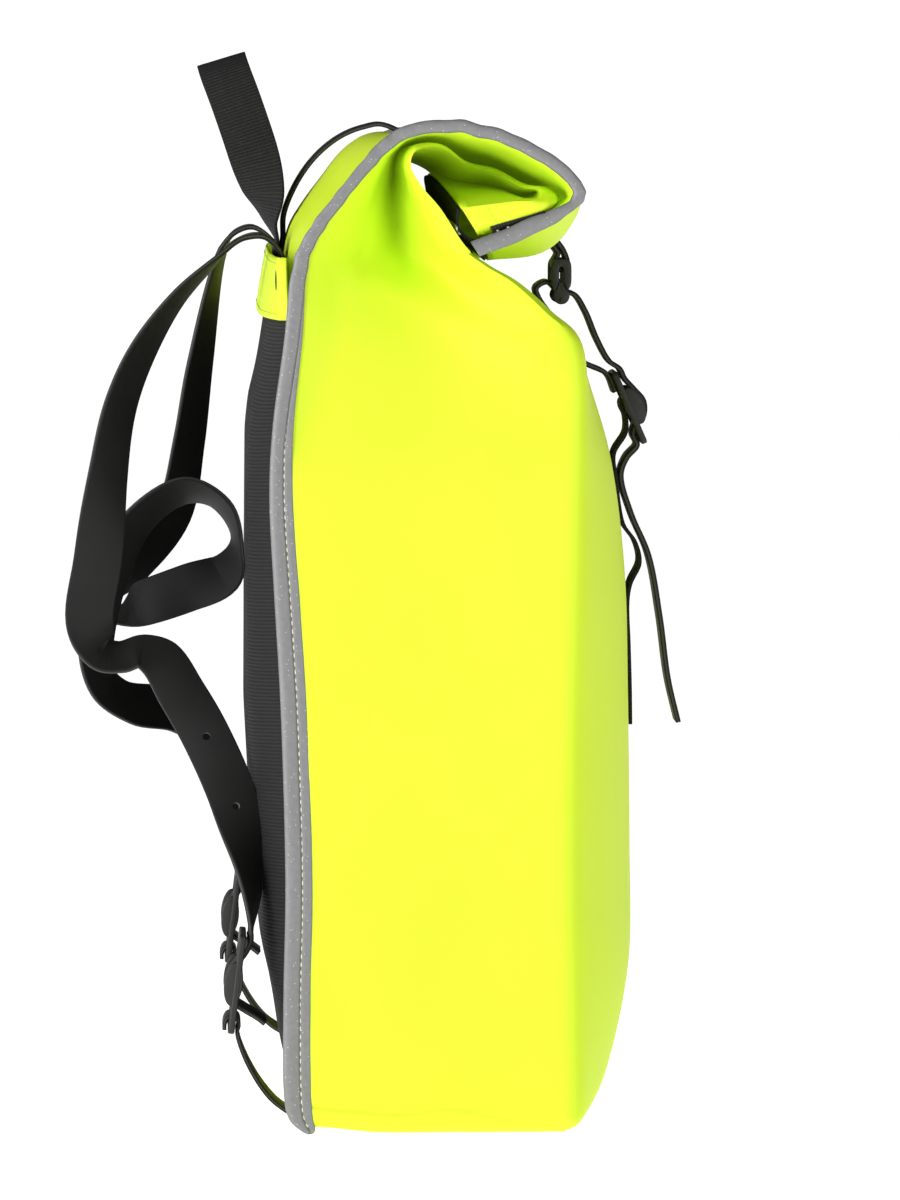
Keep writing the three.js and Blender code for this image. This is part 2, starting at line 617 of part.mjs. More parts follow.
// The front strap: from the slider's top bar up the front, over the hook's low bar, back down
// round the slider and on to its free end
const frontStrap = [
  onFrontSlider(9, -3),
  onFrontSlider(18, -3.1),
  { y: -73.6, z: 337 },
  { y: -69.5, z: 347 },
  { y: -61, z: 358.5 },
  { y: -51.8, z: 366.6 },
  { y: -48.4, z: 370.6 },
  { y: -52.5, z: 373.2 },
  { y: hook.y, z: hookBarLow + hook.bar + seat * 1.2 + strapWall / 2 },
  { y: -65, z: 367.6 },
  { y: -70.2, z: 360 },
  { y: -75.6, z: 347.1 },
  { y: -81.6, z: 336.5 },
  onFrontSlider(18, 3.3),
  onFrontSlider(13, 3.6),
  onFrontSlider(7, 5.6),
  onFrontSlider(0, 7.5),
  onFrontSlider(-6.5, 4.6),
  onFrontSlider(-8.6, 0),
  onFrontSlider(-12.6, -3.1),
  onFrontSlider(-17.5, -3.3),
  { y: -89.5, z: 292 },
  { y: -86.9, z: 284 },
  { y: -91.8, z: 266 },
  { y: -99.8, z: 247 },
  { y: -105.2, z: 218 },
  { y: -109, z: 189.6 },
  { y: -113.7, z: 169.5 },
];

// The front webbing is sewn on low down, stands off in one loop, is tacked and wraps the slider's middle bar
const sewn = (z) => ({ y: frontAt(z) - clothWall / 2 - seat - webbingWall / 2, z });
const frontWebbing = [
  sewn(168.7),
  sewn(186),
  sewn(205),
  sewn(226),
  { y: -91.4, z: 234 },
  { y: -95.6, z: 243.5 },
  { y: -93.6, z: 253 },
  { y: -88.2, z: 261 },
  sewn(270),
  sewn(282),
  { y: -83.6, z: 294 },
  onFrontSlider(-10, -5.8),
  onFrontSlider(-3, -2.9),
  onFrontSlider(1.5, -2.9),
  onFrontSlider(3.9, -1.7),
  onFrontSlider(3.9, 1.7),
  onFrontSlider(1.5, 2.9),
  onFrontSlider(-2, 2.8),
];

// The zip closes the mouth at the end of the rolled cloth, as a strip that bows out between the two hems
const zipWall = 1.4;
const zipBow = 5;
const zipHalf = halfWidth - 4;
const zipStops = [0, 0.2, 0.5, 0.8, 1];

function mouthZip() {
  const { depth, at, backReach, frontReach } = sectionAt(lastRow);
  const before = sectionAt(lastRow - 0.2);
  const out = at(0, depth / 2).sub(before.at(0, before.depth / 2)).normalize();
  const clear = seat + zipWall / 2;
  const grid = zipStops.map((share) => panelStops.map((side) => {
    const reach = THREE.MathUtils.lerp(frontReach(side), backReach(side), share);
    return at(side * zipHalf, reach).addScaledVector(out, zipBow * Math.sin(Math.PI * share) + clear);
  }));
  return clothOver(grid, zipWall);
}

addPiece('body_shell', 'coatedCloth', bodyShell());
addPiece('roll_lining', 'coatedCloth', rollLining());
addPiece('back_panel', 'coatedCloth', clothOver(panelGrid, clothWall));
addPiece('back_pad', 'padKnit', wallBetween(padCover(0), padCover(padWall)));
addPiece('anchor_patch', 'coatedCloth', anchorPatch());
addPiece('binding_left', 'bindingTape', binding(-1));
addPiece('binding_right', 'bindingTape', binding(1));
addPiece('mouth_zip', 'zip', mouthZip());
addPiece('top_handle', 'webbing', ribbon(handleStations, webbingWidth, webbingWall));
addPiece('closing_strap', 'strapRubber', closingStrap());
addPiece('closing_hook', 'hardware', closingHook());
addPiece('front_strap', 'strapRubber', ribbon(frontStrap, strapWidth, strapWall));
addPiece('front_webbing', 'webbing', ribbon(frontWebbing, webbingWidth, webbingWall));
addPiece('shoulder_strap_left', 'strapRubber', ribbon(nearStrap, strapWidth, strapWall));
addPiece('shoulder_strap_right', 'strapRubber', ribbon(farStrap, strapWidth, strapWall));
addPiece('lower_strap_left', 'strapRubber', ribbon(lowerStrap, strapWidth, lowerStrapWall));
addPiece('lower_strap_right', 'strapRubber', ribbon(mirrored(lowerStrap), strapWidth, lowerStrapWall));
addSlider('strap_buckle_left', sliders.strap, -sliderX);
addSlider('strap_buckle_right', sliders.strap, sliderX);
addSlider('front_buckle', sliders.front, 0);

export default bag;
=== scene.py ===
# Roll-top backpack seen from its side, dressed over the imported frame
import math
import bpy
import bmesh
from mathutils import Matrix, Quaternion, Vector, noise


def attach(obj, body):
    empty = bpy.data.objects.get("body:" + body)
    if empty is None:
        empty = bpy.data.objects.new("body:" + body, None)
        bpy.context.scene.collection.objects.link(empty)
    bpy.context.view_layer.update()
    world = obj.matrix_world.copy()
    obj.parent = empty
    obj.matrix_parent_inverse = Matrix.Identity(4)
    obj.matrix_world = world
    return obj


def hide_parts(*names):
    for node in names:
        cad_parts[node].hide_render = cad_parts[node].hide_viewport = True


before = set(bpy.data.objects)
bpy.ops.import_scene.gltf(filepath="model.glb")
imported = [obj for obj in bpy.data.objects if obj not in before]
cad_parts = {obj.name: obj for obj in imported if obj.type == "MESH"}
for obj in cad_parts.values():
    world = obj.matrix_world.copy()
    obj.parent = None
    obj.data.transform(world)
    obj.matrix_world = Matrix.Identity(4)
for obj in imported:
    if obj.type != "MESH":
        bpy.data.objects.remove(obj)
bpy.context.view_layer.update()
mm = 0.001
scene = bpy.context.scene
toRight = Vector((1, 0, 0))
sides = ((-1, "left"), (1, "right"))

# Camera at the photograph's angle
viewpoint = {"azimuth": 267.7, "elevation": 4.5, "distance": 3.0, "target": (0, -0.0082, 0.2258),
             "lens": 129.5, "sensor": 24}


def setCamera(settings):
    turn, rise = math.radians(settings["azimuth"]), math.radians(settings["elevation"])
    away = Vector((math.sin(turn) * math.cos(rise), -math.cos(turn) * math.cos(rise), math.sin(rise)))
    data = bpy.data.cameras.new("sideCamera")
    data.sensor_fit = "VERTICAL"
    data.sensor_height = settings["sensor"]
    data.lens = settings["lens"]
    camera = bpy.data.objects.new("sideCamera", data)
    camera.location = Vector(settings["target"]) + away * settings["distance"]
    camera.rotation_euler = (-away).to_track_quat("-Z", "Y").to_euler()
    scene.collection.objects.link(camera)
    scene.camera = camera


setCamera(viewpoint)
print("camera set")


# Finishes

def newFinish(name):
    material = bpy.data.materials.new(name)
    material.use_nodes = True
    tree = material.node_tree
    shader = tree.nodes["Principled BSDF"]
    return material, tree, shader, tree.nodes.new("ShaderNodeTexCoord").outputs


def texture(tree, kind, vector, **settings):
    node = tree.nodes.new("ShaderNodeTex" + kind)
    for name, value in settings.items():
        if hasattr(node, name):
            setattr(node, name, value)
        else:
            node.inputs[name.replace("_", " ").title()].default_value = value
    tree.links.new(vector, node.inputs["Vector"])
    return node.outputs["Distance" if kind == "Voronoi" else "Fac"]


def turned(tree, vector, turn):
    mapping = tree.nodes.new("ShaderNodeMapping")
    mapping.inputs["Rotation"].default_value = [math.radians(angle) for angle in turn]
    tree.links.new(vector, mapping.inputs["Vector"])
    return mapping.outputs["Vector"]


def blendOf(tree, factor, first, second, between=()):  # between has (stop, colour) pairs
    gradient = tree.nodes.new("ShaderNodeValToRGB")
    stops = gradient.color_ramp.elements
    stops[0].color, stops[1].color = first, second
    for stop, colour in between:
        stops.new(stop).color = colour
    tree.links.new(factor, gradient.inputs["Fac"])
    return gradient.outputs["Color"]


def mixedColour(tree, factor, tone, other):  # a changing tone that gives way to one other colour
    mix = tree.nodes.new("ShaderNodeMix")
    mix.data_type = "RGBA"
    colours = [socket for socket in mix.inputs if socket.type == "RGBA"]
    colours[1].default_value = other
    tree.links.new(factor, mix.inputs[0])
    tree.links.new(tone, colours[0])
    return next(socket for socket in mix.outputs if socket.type == "RGBA")


def setSockets(node, **values):
    for name, value in values.items():
        node.inputs[name.replace("_", " ")].default_value = value


def grey(value):
    return (value, value, value, 1)


def addBump(tree, shader, height, distance, strength=1.0):
    bump = tree.nodes.new("ShaderNodeBump")
    setSockets(bump, Distance=distance, Strength=strength)
    tree.links.new(height, bump.inputs["Height"])
    earlier = shader.inputs["Normal"].links
    if earlier:
        tree.links.new(earlier[0].from_socket, bump.inputs["Normal"])
    tree.links.new(bump.outputs["Normal"], shader.inputs["Normal"])


def rampedRoughness(tree, shader, factor, low, high):
    span = tree.nodes.new("ShaderNodeMapRange")
    setSockets(span, To_Min=low, To_Max=high)
    tree.links.new(factor, span.inputs["Value"])
    tree.links.new(span.outputs["Result"], shader.inputs["Roughness"])


# paintedGlow is painted light: a faint even glow of the cloth that lifts its shade
coatedCloth = {"bright": (0.66, 0.86, 0.030, 1), "deep": (0.61, 0.81, 0.024, 1), "grain": 1500, "paintedGlow": 0.02}


def coatedClothFinish(settings):
    material, tree, shader, places = newFinish("coatedCloth")
    drift = texture(tree, "Noise", places["Object"], scale=14, detail=4)
    tone = blendOf(tree, drift, settings["deep"], settings["bright"])
    tree.links.new(tone, shader.inputs["Base Color"])
    grain = texture(tree, "Noise", places["Object"], scale=settings["grain"], detail=3)
    rampedRoughness(tree, shader, drift, 0.5, 0.62)
    addBump(tree, shader, grain, 0.00005, 0.5)
    slack = texture(tree, "Noise", places["Object"], scale=26, detail=2)
    addBump(tree, shader, slack, 0.0012, 0.35)
    # the cloth glows faintly in its bright colour: painted light that lifts its shade
    setSockets(shader, Specular_IOR_Level=0.2, Emission_Color=settings["bright"],
               Emission_Strength=settings["paintedGlow"])
    return material


# glint is a painted highlight: pale spots that stand for the reflective tape's sparkle
bindingTape = {"dark": (0.15, 0.15, 0.153, 1), "light": (0.22, 0.22, 0.226, 1), "glint": (0.5, 0.5, 0.52, 1),
               "glintShare": 0.12}


def bindingFinish(settings):
    material, tree, shader, places = newFinish("bindingTape")
    cloud = texture(tree, "Noise", places["Object"], scale=420, detail=5)
    tone = blendOf(tree, cloud, settings["dark"], settings["light"])
    # small spots get the pale glint colour: painted glints
    glintSpots = texture(tree, "Voronoi", places["Object"], scale=520)
    chosen = tree.nodes.new("ShaderNodeMath")
    chosen.operation = "LESS_THAN"
    chosen.inputs[1].default_value = settings["glintShare"]
    tree.links.new(glintSpots, chosen.inputs[0])
    glinted = mixedColour(tree, chosen.outputs[0], tone, settings["glint"])
    tree.links.new(glinted, shader.inputs["Base Color"])
    rampedRoughness(tree, shader, cloud, 0.42, 0.6)
    addBump(tree, shader, cloud, 0.00008, 0.6)
    setSockets(shader, Metallic=0.15)
    return material


def ribbedFinish(name, dark, light, pitch, depth, lines="UV", turn=(0, 0, 0)):  # pitch and depth in m
    material, tree, shader, places = newFinish(name)
    vector = turned(tree, places[lines], turn)
    bands = math.pi / (10 * pitch)
    ribs = texture(tree, "Wave", vector, bands_direction="Y", scale=bands, distortion=0.6, detail=1)
    weave = texture(tree, "Wave", vector, bands_direction="X", scale=bands * 1.7)
    fuzz = texture(tree, "Noise", vector, scale=2200, detail=3)
    # the ribs' grooves are painted darker than their ridges: painted shade in the grooves
    tone = blendOf(tree, ribs, dark, light)
    tree.links.new(tone, shader.inputs["Base Color"])
    rampedRoughness(tree, shader, fuzz, 0.75, 0.95)
    for height, share, strength in ((ribs, 1, 0.9), (weave, 0.3, 0.6), (fuzz, 0.4, 0.5)):
        addBump(tree, shader, height, depth * share, strength)
    setSockets(shader, Specular_IOR_Level=0.25)
    return material


strapRubber = {"dark": grey(0.007), "light": (0.013, 0.0128, 0.0126, 1), "edge": (0.05, 0.049, 0.047, 1),
               "girth": 0.0474, "edgeStops": (0.012, 0.022, 0.452, 0.465, 0.526, 0.54, 0.972, 0.982)}


def rubberFinish(settings):  # smooth strap with paler cut edges
    material, tree, shader, places = newFinish("strapRubber")
    cloud = texture(tree, "Noise", places["Object"], scale=60, detail=6)
    tone = blendOf(tree, cloud, settings["dark"], settings["light"])
    flat = tree.nodes.new("ShaderNodeSeparateXYZ")
    tree.links.new(places["UV"], flat.inputs[0])
    girth = tree.nodes.new("ShaderNodeMapRange")
    setSockets(girth, From_Max=settings["girth"])
    tree.links.new(flat.outputs["X"], girth.inputs["Value"])
    stops = [(stop, grey(0 if k % 4 in (1, 2) else 1)) for k, stop in enumerate(settings["edgeStops"])]
    edges = blendOf(tree, girth.outputs["Result"], grey(1), grey(1), stops)
    edged = mixedColour(tree, edges, tone, settings["edge"])
    tree.links.new(edged, shader.inputs["Base Color"])
    grain = texture(tree, "Noise", places["Object"], scale=2600, detail=2)
    rampedRoughness(tree, shader, cloud, 0.52, 0.66)
    addBump(tree, shader, grain, 0.00004, 0.5)
    setSockets(shader, Specular_IOR_Level=0.2, Sheen_Weight=0.05)
    return material


def mouldedFinish(name, colour, low, high, metallic=0.0):  # low and high bound the roughness
    material, tree, shader, places = newFinish(name)
    cloud = texture(tree, "Noise", places["Object"], scale=240, detail=4)
    worn = tuple(min(1, part * 1.6) for part in colour[:3]) + (1,)
    tone = blendOf(tree, cloud, colour, worn)
    tree.links.new(tone, shader.inputs["Base Color"])
    rampedRoughness(tree, shader, cloud, low, high)
    addBump(tree, shader, cloud, 0.00005, 0.5)
    setSockets(shader, Metallic=metallic, Specular_IOR_Level=0.3)
    return material


clothFinish = coatedClothFinish(coatedCloth)
tapeFinish = bindingFinish(bindingTape)
padFinish = ribbedFinish("padKnit", grey(0.011), grey(0.022), 0.0016, 0.0003, "Object", (100, 0, 0))
webbingFinish = ribbedFinish("webbing", grey(0.009), grey(0.021), 0.0015, 0.0004)
zipTapeFinish = ribbedFinish("zipTape", grey(0.012), grey(0.03), 0.0008, 0.0002)
strapFinish = rubberFinish(strapRubber)
hardwareFinish = mouldedFinish("hardware", grey(0.016), 0.38, 0.55)
toothFinish = mouldedFinish("zipTeeth", grey(0.5), 0.25, 0.4, 0.6)
threadFinish = mouldedFinish("paleThread", (0.50, 0.52, 0.36, 1), 0.6, 0.8)
clothThreadFinish = mouldedFinish("clothThread", (0.32, 0.46, 0.02, 1), 0.6, 0.8)
# dark colour of the patch's slits: painted shade
slitShadeFinish = mouldedFinish("slitShade", grey(0.02), 0.6, 0.8)
print("finishes made")


# Shapes shared by the pieces

def clamp(value, low=0, high=1):
    return min(max(value, low), high)


def ramp(value, start, end):  # from 0 at the start to 1 at the end, eased
    share = clamp((value - start) / (end - start))
    return share * share * (3 - 2 * share)


def lineAt(line, z):  # y on a standing line for a height
    k = max(1, next((n for n, point in enumerate(line) if point.z > z), len(line) - 1))
    share = (z - line[k - 1].z) / (line[k].z - line[k - 1].z)
    return line[k - 1].y + (line[k].y - line[k - 1].y) * share


def smoothAt(rows, place, knot=0.0):  # a smooth line through the rows, at a place counted in rows
    last = len(rows) - 1
    k = clamp(int(place), 0, last - 1)
    share = place - k
    start, end = rows[k], rows[k + 1]
    before = rows[k - 1] if k > 0 else start * 2 - end
    after = rows[k + 2] if k + 2 <= last else end * 2 - start
    first, middle, final = [max((b - a).length_squared, 1e-12) ** knot
                            for a, b in ((before, start), (start, end), (end, after))]
    leave = ((start - before) / first - (end - before) / (first + middle) + (end - start) / middle) * middle
    arrive = ((end - start) / middle - (after - start) / (middle + final) + (after - end) / final) * middle
    cubic = start * 2 - end * 2 + leave + arrive
    square = end * 3 - start * 3 - leave * 2 - arrive
    return ((cubic * share + square) * share + leave) * share + start


def gridSheet(columns, rows, place, width=1.0, length=1.0):  # quads placed by place(column, row), in mm
    shape = bmesh.new()
    flat = shape.loops.layers.uv.new("cloth")
    bmesh.ops.create_grid(shape, x_segments=columns, y_segments=rows, size=0.5)
    spots = {vert: (round((vert.co.x + 0.5) * columns), round((vert.co.y + 0.5) * rows))
             for vert in shape.verts}
    for face in shape.faces:
        for loop in face.loops:
            column, row = spots[loop.vert]
            loop[flat].uv = (column / columns * width, row / rows * length)
    for vert, (column, row) in spots.items():
        vert.co = place(column, row) * mm
    return shape


def sweepRings(rings):  # a closed tube through rings of points, with UV in metres round and along it
    around, along = len(rings[0]), len(rings) - 1
    girth = sum((rings[0][k] - rings[0][k - 1]).length for k in range(around))
    runs = [0.0]
    for a, b in zip(rings, rings[1:]):
        runs.append(runs[-1] + (sum(b, Vector()) - sum(a, Vector())).length / around)
    shape = gridSheet(around, along, lambda column, row: rings[row][column % around], girth * mm, 1.0)
    flat = shape.loops.layers.uv.active
    for face in shape.faces:
        for loop in face.loops:
            row = round(loop[flat].uv.y * along)
            loop[flat].uv = (loop[flat].uv.x, runs[row] * mm)
    bmesh.ops.remove_doubles(shape, verts=shape.verts, dist=1e-7)
    bmesh.ops.holes_fill(shape, edges=[edge for edge in shape.edges if edge.is_boundary], sides=0)
    bmesh.ops.recalc_face_normals(shape, faces=shape.faces)
    return shape


def meshOf(name, shape):
    mesh = bpy.data.meshes.new(name)
    shape.to_mesh(mesh)
    shape.free()
    return mesh


def gather(*shapes):  # several shapes as one
    whole = bmesh.new()
    for shape in shapes:
        mesh = meshOf("part", shape)
        whole.from_mesh(mesh)
        bpy.data.meshes.remove(mesh)
    return whole


def axesMatrix(along, across, out):
    return Matrix((along, across, out)).transposed().to_4x4()


def addBead(shape, place, axes, size, subdivisions=1):  # a ball stretched along its axes
    spread = Matrix.Diagonal([part * mm for part in size] + [1])
    bmesh.ops.create_icosphere(shape, subdivisions=subdivisions, radius=1,
                               matrix=Matrix.Translation(place * mm) @ axes @ spread)


def thicken(shape, way):  # flat faces become a plate
    grown = bmesh.ops.extrude_face_region(shape, geom=shape.faces[:])["geom"]
    corners = [part for part in grown if isinstance(part, bmesh.types.BMVert)]
    bmesh.ops.translate(shape, vec=Vector(way) * mm, verts=corners)
    bmesh.ops.recalc_face_normals(shape, faces=shape.faces)


def sharpEdges(shape, turn=1.2):
    return [edge for edge in shape.edges if len(edge.link_faces) == 2 and edge.calc_face_angle() > turn]


def roundEdges(shape, edges, offset, segments=3):
    bmesh.ops.bevel(shape, geom=edges, offset=offset * mm, segments=segments, profile=0.5, affect="EDGES",
                    material=-1)


def makePiece(name, shape, finish, nodes=(), sharp=35):
    mesh = meshOf(name, shape)
    mesh.materials.append(finish)
    mesh.shade_smooth()
    mesh.set_sharp_from_angle(angle=math.radians(sharp))
    piece = bpy.data.objects.new(name, mesh)
    scene.collection.objects.link(piece)
    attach(piece, "root")
    if nodes:
        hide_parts(*nodes)
    return piece


def addWall(piece, thickness):
    wall = piece.modifiers.new("wall", "SOLIDIFY")
    wall.thickness = thickness * mm
    wall.offset = 0


def settle(piece):  # the piece's modifiers become its mesh
    shown = piece.evaluated_get(bpy.context.evaluated_depsgraph_get())
    mesh = bpy.data.meshes.new_from_object(shown)
    old = piece.data
    piece.modifiers.clear()
    piece.data = mesh
    bpy.data.meshes.remove(old)


# The bag's body: cross-sections from the base up, over the roll and back under it, in mm
pack = {"halfWidth": 150, "cloth": 1.2, "seat": 0.3, "bindingReach": 1.9, "gather": 0.8, "deepest": 54,
        "frontPart": 0.3, "frontColumns": 16, "sideColumns": 40, "pinchHalf": 0.1, "pinchSpread": 0.24,
        "underBinding": 0.55, "sinkRun": 110, "droop": 4, "droopRows": (11, 15), "droopFrom": -100,
        "creaseWide": 0.075, "strip": 4, "stripMore": 7, "stripRows": (6.5, 8.5), "stripFall": 1.4,
        "stepRun": 0.6, "flatSize": (0.55, 0.78)}
bagBase = {"round": 6, "height": 0.9, "sideRun": 14, "frontFrom": -50, "cornerLift": 3.6,
           "liftX": (105, 145), "liftY": (20, 60), "liftZ": (16, 0), "columns": 24, "rows": 10, "tuck": 0.8,
           "backTuck": 3.4}
frontCorner = {"reach": 8, "backTo": -12, "upTo": 390, "smoothing": 4}
# Slack of the cloth: how much, the rows over which it grows and the rows over which it fades
slackForms = {"sink": (6.5, (14.5, 17.5), (22, 19)), "crease": (18, (9.5, 13), (18.5, 16.5)),
              "turnIn": (0.95, (7, 9.5), (16, 14.5)), "stepIn": (7.5, (6, 8.5), (13, 10))}
sectionNames = ("backY", "backZ", "frontY", "frontZ", "bulge", "inset", "swell", "fold", "bound", "pull",
                "pinch")
packSections = [Vector(row) for row in (
    (60, 0.6, -59, 0.9, 8, 0, 0, 0.5, 3.2, 0, 0),
    (65, 14, -59.5, 14, 20, 0, 0, 0.5, 6, 0, 0),
    (65.5, 60, -58.5, 60, 31.5, 0, 0, 0.5, 6, 0, 0),
    (64.5, 114, -57.5, 114, 33, 0, 0, 0.5, 6, 0, 0),
    (66.5, 186, -58, 186, 31.5, 0, 0, 0.5, 5.8, 0, 0),
    (69.5, 238, -59.5, 238, 28.5, 0, 0, 0.5, 5.6, 0, 0),
    (72, 282, -60.5, 282, 22.5, 0, 0, 0.5, 5.2, 0, 0),
    (71, 315, -61.5, 313, 14, 1, 0, 0.5, 4.6, 0, 0),
    (66.7, 351, -60.5, 349, 0, 5, 1, 0.5, 4, 0, 0),
    (65, 373, -47, 364, -2, 13, 4, 0.5, 3.6, 0, 0),
    (63, 386, -33, 376.5, -4, 21.5, 6.5, 0.5, 3.3, 0, 0),
    (58.3, 397.5, -20, 384, -4, 28.5, 8.5, 0.5, 3.1, 0, 0),
    (51.3, 407.5, -9, 392.5, -3, 34.5, 9.5, 0.5, 3, 0, 0),
    (42.5, 418.5, 2, 409, -1, 38, 10.5, 0.5, 2.9, 0, 0),
    (33, 430, 10, 418.5, 0, 43, 10.5, 0.5, 2.9, 0, 0),
    (25, 438, 15.2, 428, 0, 46, 7.5, 0.5, 2.9, 0, 0),
    (16, 443.3, 12.3, 435.6, 1, 48, 2.5, 0.48, 2.9, 0, 0),
    (2, 445.6, 1, 436.4, 4, 50, -1, 0.42, 2.9, 12, 4),
    (-13, 444.3, -10.6, 430, 7, 54, -2, 0.34, 2.9, 34, 6),
    (-28.5, 439.5, -24, 427, 6, 54, -2, 0.34, 2.9, 38, 8),
    (-46.4, 430.3, -36, 419.5, 2, 50, 0, 0.38, 2.9, 34, 10),
    (-57, 420.5, -42.4, 417.6, 0, 44, 3, 0.5, 2.9, 20, 13),
    (-58.5, 414, -42.8, 414.2, 0, 34, 8, 0.7, 2.9, 6, 17),
    (-50.4, 408, -38.5, 412.6, 2, 22, 18, 0.86, 2.9, 0, 20),
    (-37.3, 401.5, -29.4, 412.2, 9, 18, 24, 0.88, 2.9, 0, 24),
    (-17.5, 393.2, -7.4, 409.5, 17, 18, 14, 0.88, 2.9, 0, 10),
)]
lastRow = len(packSections) - 1
throatRow = 12


def sectionAt(row):
    section = dict(zip(sectionNames, smoothAt(packSections, row)))
    front = Vector((0, section["frontY"], section["frontZ"]))
    toBack = Vector((0, section["backY"], section["backZ"])) - front
    depth = toBack.length
    toBack /= depth
    droop = pack["droop"] * ramp(row, *pack["droopRows"])
    strip = pack["strip"] + pack["stripMore"] * ramp(row, *pack["stripRows"])
    slack = {name: most * ramp(row, *grows) * ramp(row, *fades)
             for name, (most, grows, fades) in slackForms.items()}

    def at(x, reach):  # the roll sinks between its ends and droops to the right
        place = front + toBack * reach
        place.x = x
        sunk = slack["sink"] * ramp(pack["halfWidth"] - abs(x), 0, pack["sinkRun"])
        place.z -= sunk + droop * ramp(x, pack["droopFrom"], pack["halfWidth"])
        return place

    return {**section, **slack, "depth": depth, "at": at, "strip": strip}


# Rows close together at the base seam and round the roll
bodyRows = [k / 18 for k in range(18)]
bodyRows += [1 + k / 8 for k in range(8 * 7)]
bodyRows += [8 + k / 7 for k in range(7 * (lastRow - 8) + 1)]


def sidePoint(section, share, side):  # a place on the gusset, share 0 at the front and 1 at the back seam
    phase = math.pi * share ** (math.log(0.5) / math.log(section["fold"]))
    gatherIn = pack["gather"] * section["inset"] / pack["deepest"]
    reach = share + gatherIn * math.sin(4 * phase) / (4 * math.pi)
    sideDepth = section["depth"] - section["bound"] * pack["underBinding"]
    power = 2 - section["turnIn"] if share > section["fold"] else 2
    x = pack["halfWidth"] - section["pull"] * (1 - share)
    x -= section["inset"] * max(math.sin(phase), 0) ** power
    x -= section["crease"] * math.exp(-((share - section["fold"]) / pack["creaseWide"]) ** 2)
    fromSeam = (1 - share) * section["depth"] / section["strip"]
    x -= section["stepIn"] * (1 - math.exp(-fromSeam ** pack["stripFall"])) * ramp(share, 0, pack["stepRun"])
    return section["at"](side * x, sideDepth * reach)


def frontReach(section, share):
    return -section["bulge"] * (1 - share * share)


def backReach(section, share):
    pastPinch = max(0, abs(share) - pack["pinchHalf"]) / pack["pinchSpread"]
    swell = section["swell"] * (1 - share * share) - section["pinch"] * math.exp(-pastPinch ** 2)
    return section["depth"] - section["bound"] / 3 + swell


def frontPoint(section, share):  # a place on the front, share from -1 to 1
    return section["at"]((pack["halfWidth"] - section["pull"]) * share, frontReach(section, share))


# Soft folds of the side: each follows a line of places (y, z) and raises or sinks the cloth
sideFolds = [
    {"line": ((47, 392), (47, 352), (64, 308)), "width": 6, "lift": -1.6},
    {"line": ((44, 383), (22, 377), (-1, 365), (-27, 353), (-56, 338)), "width": 10, "lift": 2.8},
    {"line": ((6, 388), (-34, 362)), "width": 9, "lift": -1.6},
    {"line": ((19, 393), (15, 384)), "width": 8, "lift": -5},
]
sideSlack = {"most": 1.1, "runY": 46, "runZ": 70, "upTo": 13, "fadeFrom": 10.5}
# Places (y, z) of the seam between side and bottom, and its groove
baseSeam = [Vector(row) for row in (
    (60, 12.5), (40, 11), (24, 10), (10, 10.5), (1, 13), (-6, 12.4), (-24, 8.6), (-42, 5), (-58, 3.2))]
seamGroove = {"deep": 0.9, "wide": 1.3}


def seamHeight(y):
    for a, b in zip(baseSeam, baseSeam[1:]):
        if y >= b.x:
            return a.y + (b.y - a.y) * clamp((a.x - y) / (a.x - b.x))
    return baseSeam[-1].y


def foldLift(y, z):
    lift = 0.0
    here = Vector((y, z))
    for fold in sideFolds:
        apart = 1e9
        for a, b in zip(fold["line"], fold["line"][1:]):
            start, end = Vector(a), Vector(b)
            share = clamp((here - start).dot(end - start) / (end - start).length_squared)
            apart = min(apart, (here - start.lerp(end, share)).length)
        lift += fold["lift"] * math.exp(-(apart / fold["width"]) ** 2)
    return lift


def cornerLift(x, y):  # the lower back corners stand a little off the floor
    return bagBase["cornerLift"] * ramp(y, *bagBase["liftY"]) * ramp(abs(x), *bagBase["liftX"])


def roundBase(place):  # the lower edge turns in under the bag
    place.z += cornerLift(place.x, place.y) * ramp(place.z, *bagBase["liftZ"])
    radius = bagBase["round"]
    low = radius - (place.z - bagBase["height"])
    if low <= 0:
        return place
    turn = radius - math.sqrt(max(radius * radius - low * low, 0))
    side = clamp((abs(place.x) - pack["halfWidth"] + bagBase["sideRun"]) / bagBase["sideRun"])
    place.x -= math.copysign(turn * side, place.x)
    if place.y < bagBase["frontFrom"]:
        place.y += turn
    return place


def bodyPoint(row, across, section):  # across from -1 at one back seam to 1 at the other
    if abs(across) <= pack["frontPart"]:
        return roundBase(frontPoint(section, across / pack["frontPart"]))
    side = -1 if across < 0 else 1
    share = (abs(across) - pack["frontPart"]) / (1 - pack["frontPart"])
    place = sidePoint(section, share, side)
    if row < sideSlack["upTo"]:
        ease = math.sin(math.pi * clamp(share)) ** 0.5 * ramp(row, sideSlack["upTo"], sideSlack["fadeFrom"])
        spot = Vector((side * 3.1, place.y / sideSlack["runY"], place.z / sideSlack["runZ"]))
        slack = noise.noise(spot) * sideSlack["most"]
        fromSeam = (place.z - seamHeight(place.y)) / seamGroove["wide"]
        groove = seamGroove["deep"] * math.exp(-fromSeam ** 2)
        place.x += side * (ease * (foldLift(place.y, place.z) + slack) - groove)
    return roundBase(place)


def basePoint(column, row):  # the flat bottom panel, tucked inside the walls' lower edge
    section = sectionAt(0)
    share = 2 * column / bagBase["columns"] - 1
    inner = pack["halfWidth"] - bagBase["round"] + bagBase["tuck"]
    front = frontPoint(section, share).y + bagBase["round"] - bagBase["tuck"]
    back = section["at"](0, section["depth"]).y - bagBase["backTuck"]
    x, y = inner * share, front + (back - front) * row / bagBase["rows"]
    return Vector((x, y, bagBase["height"] + cornerLift(x, y)))


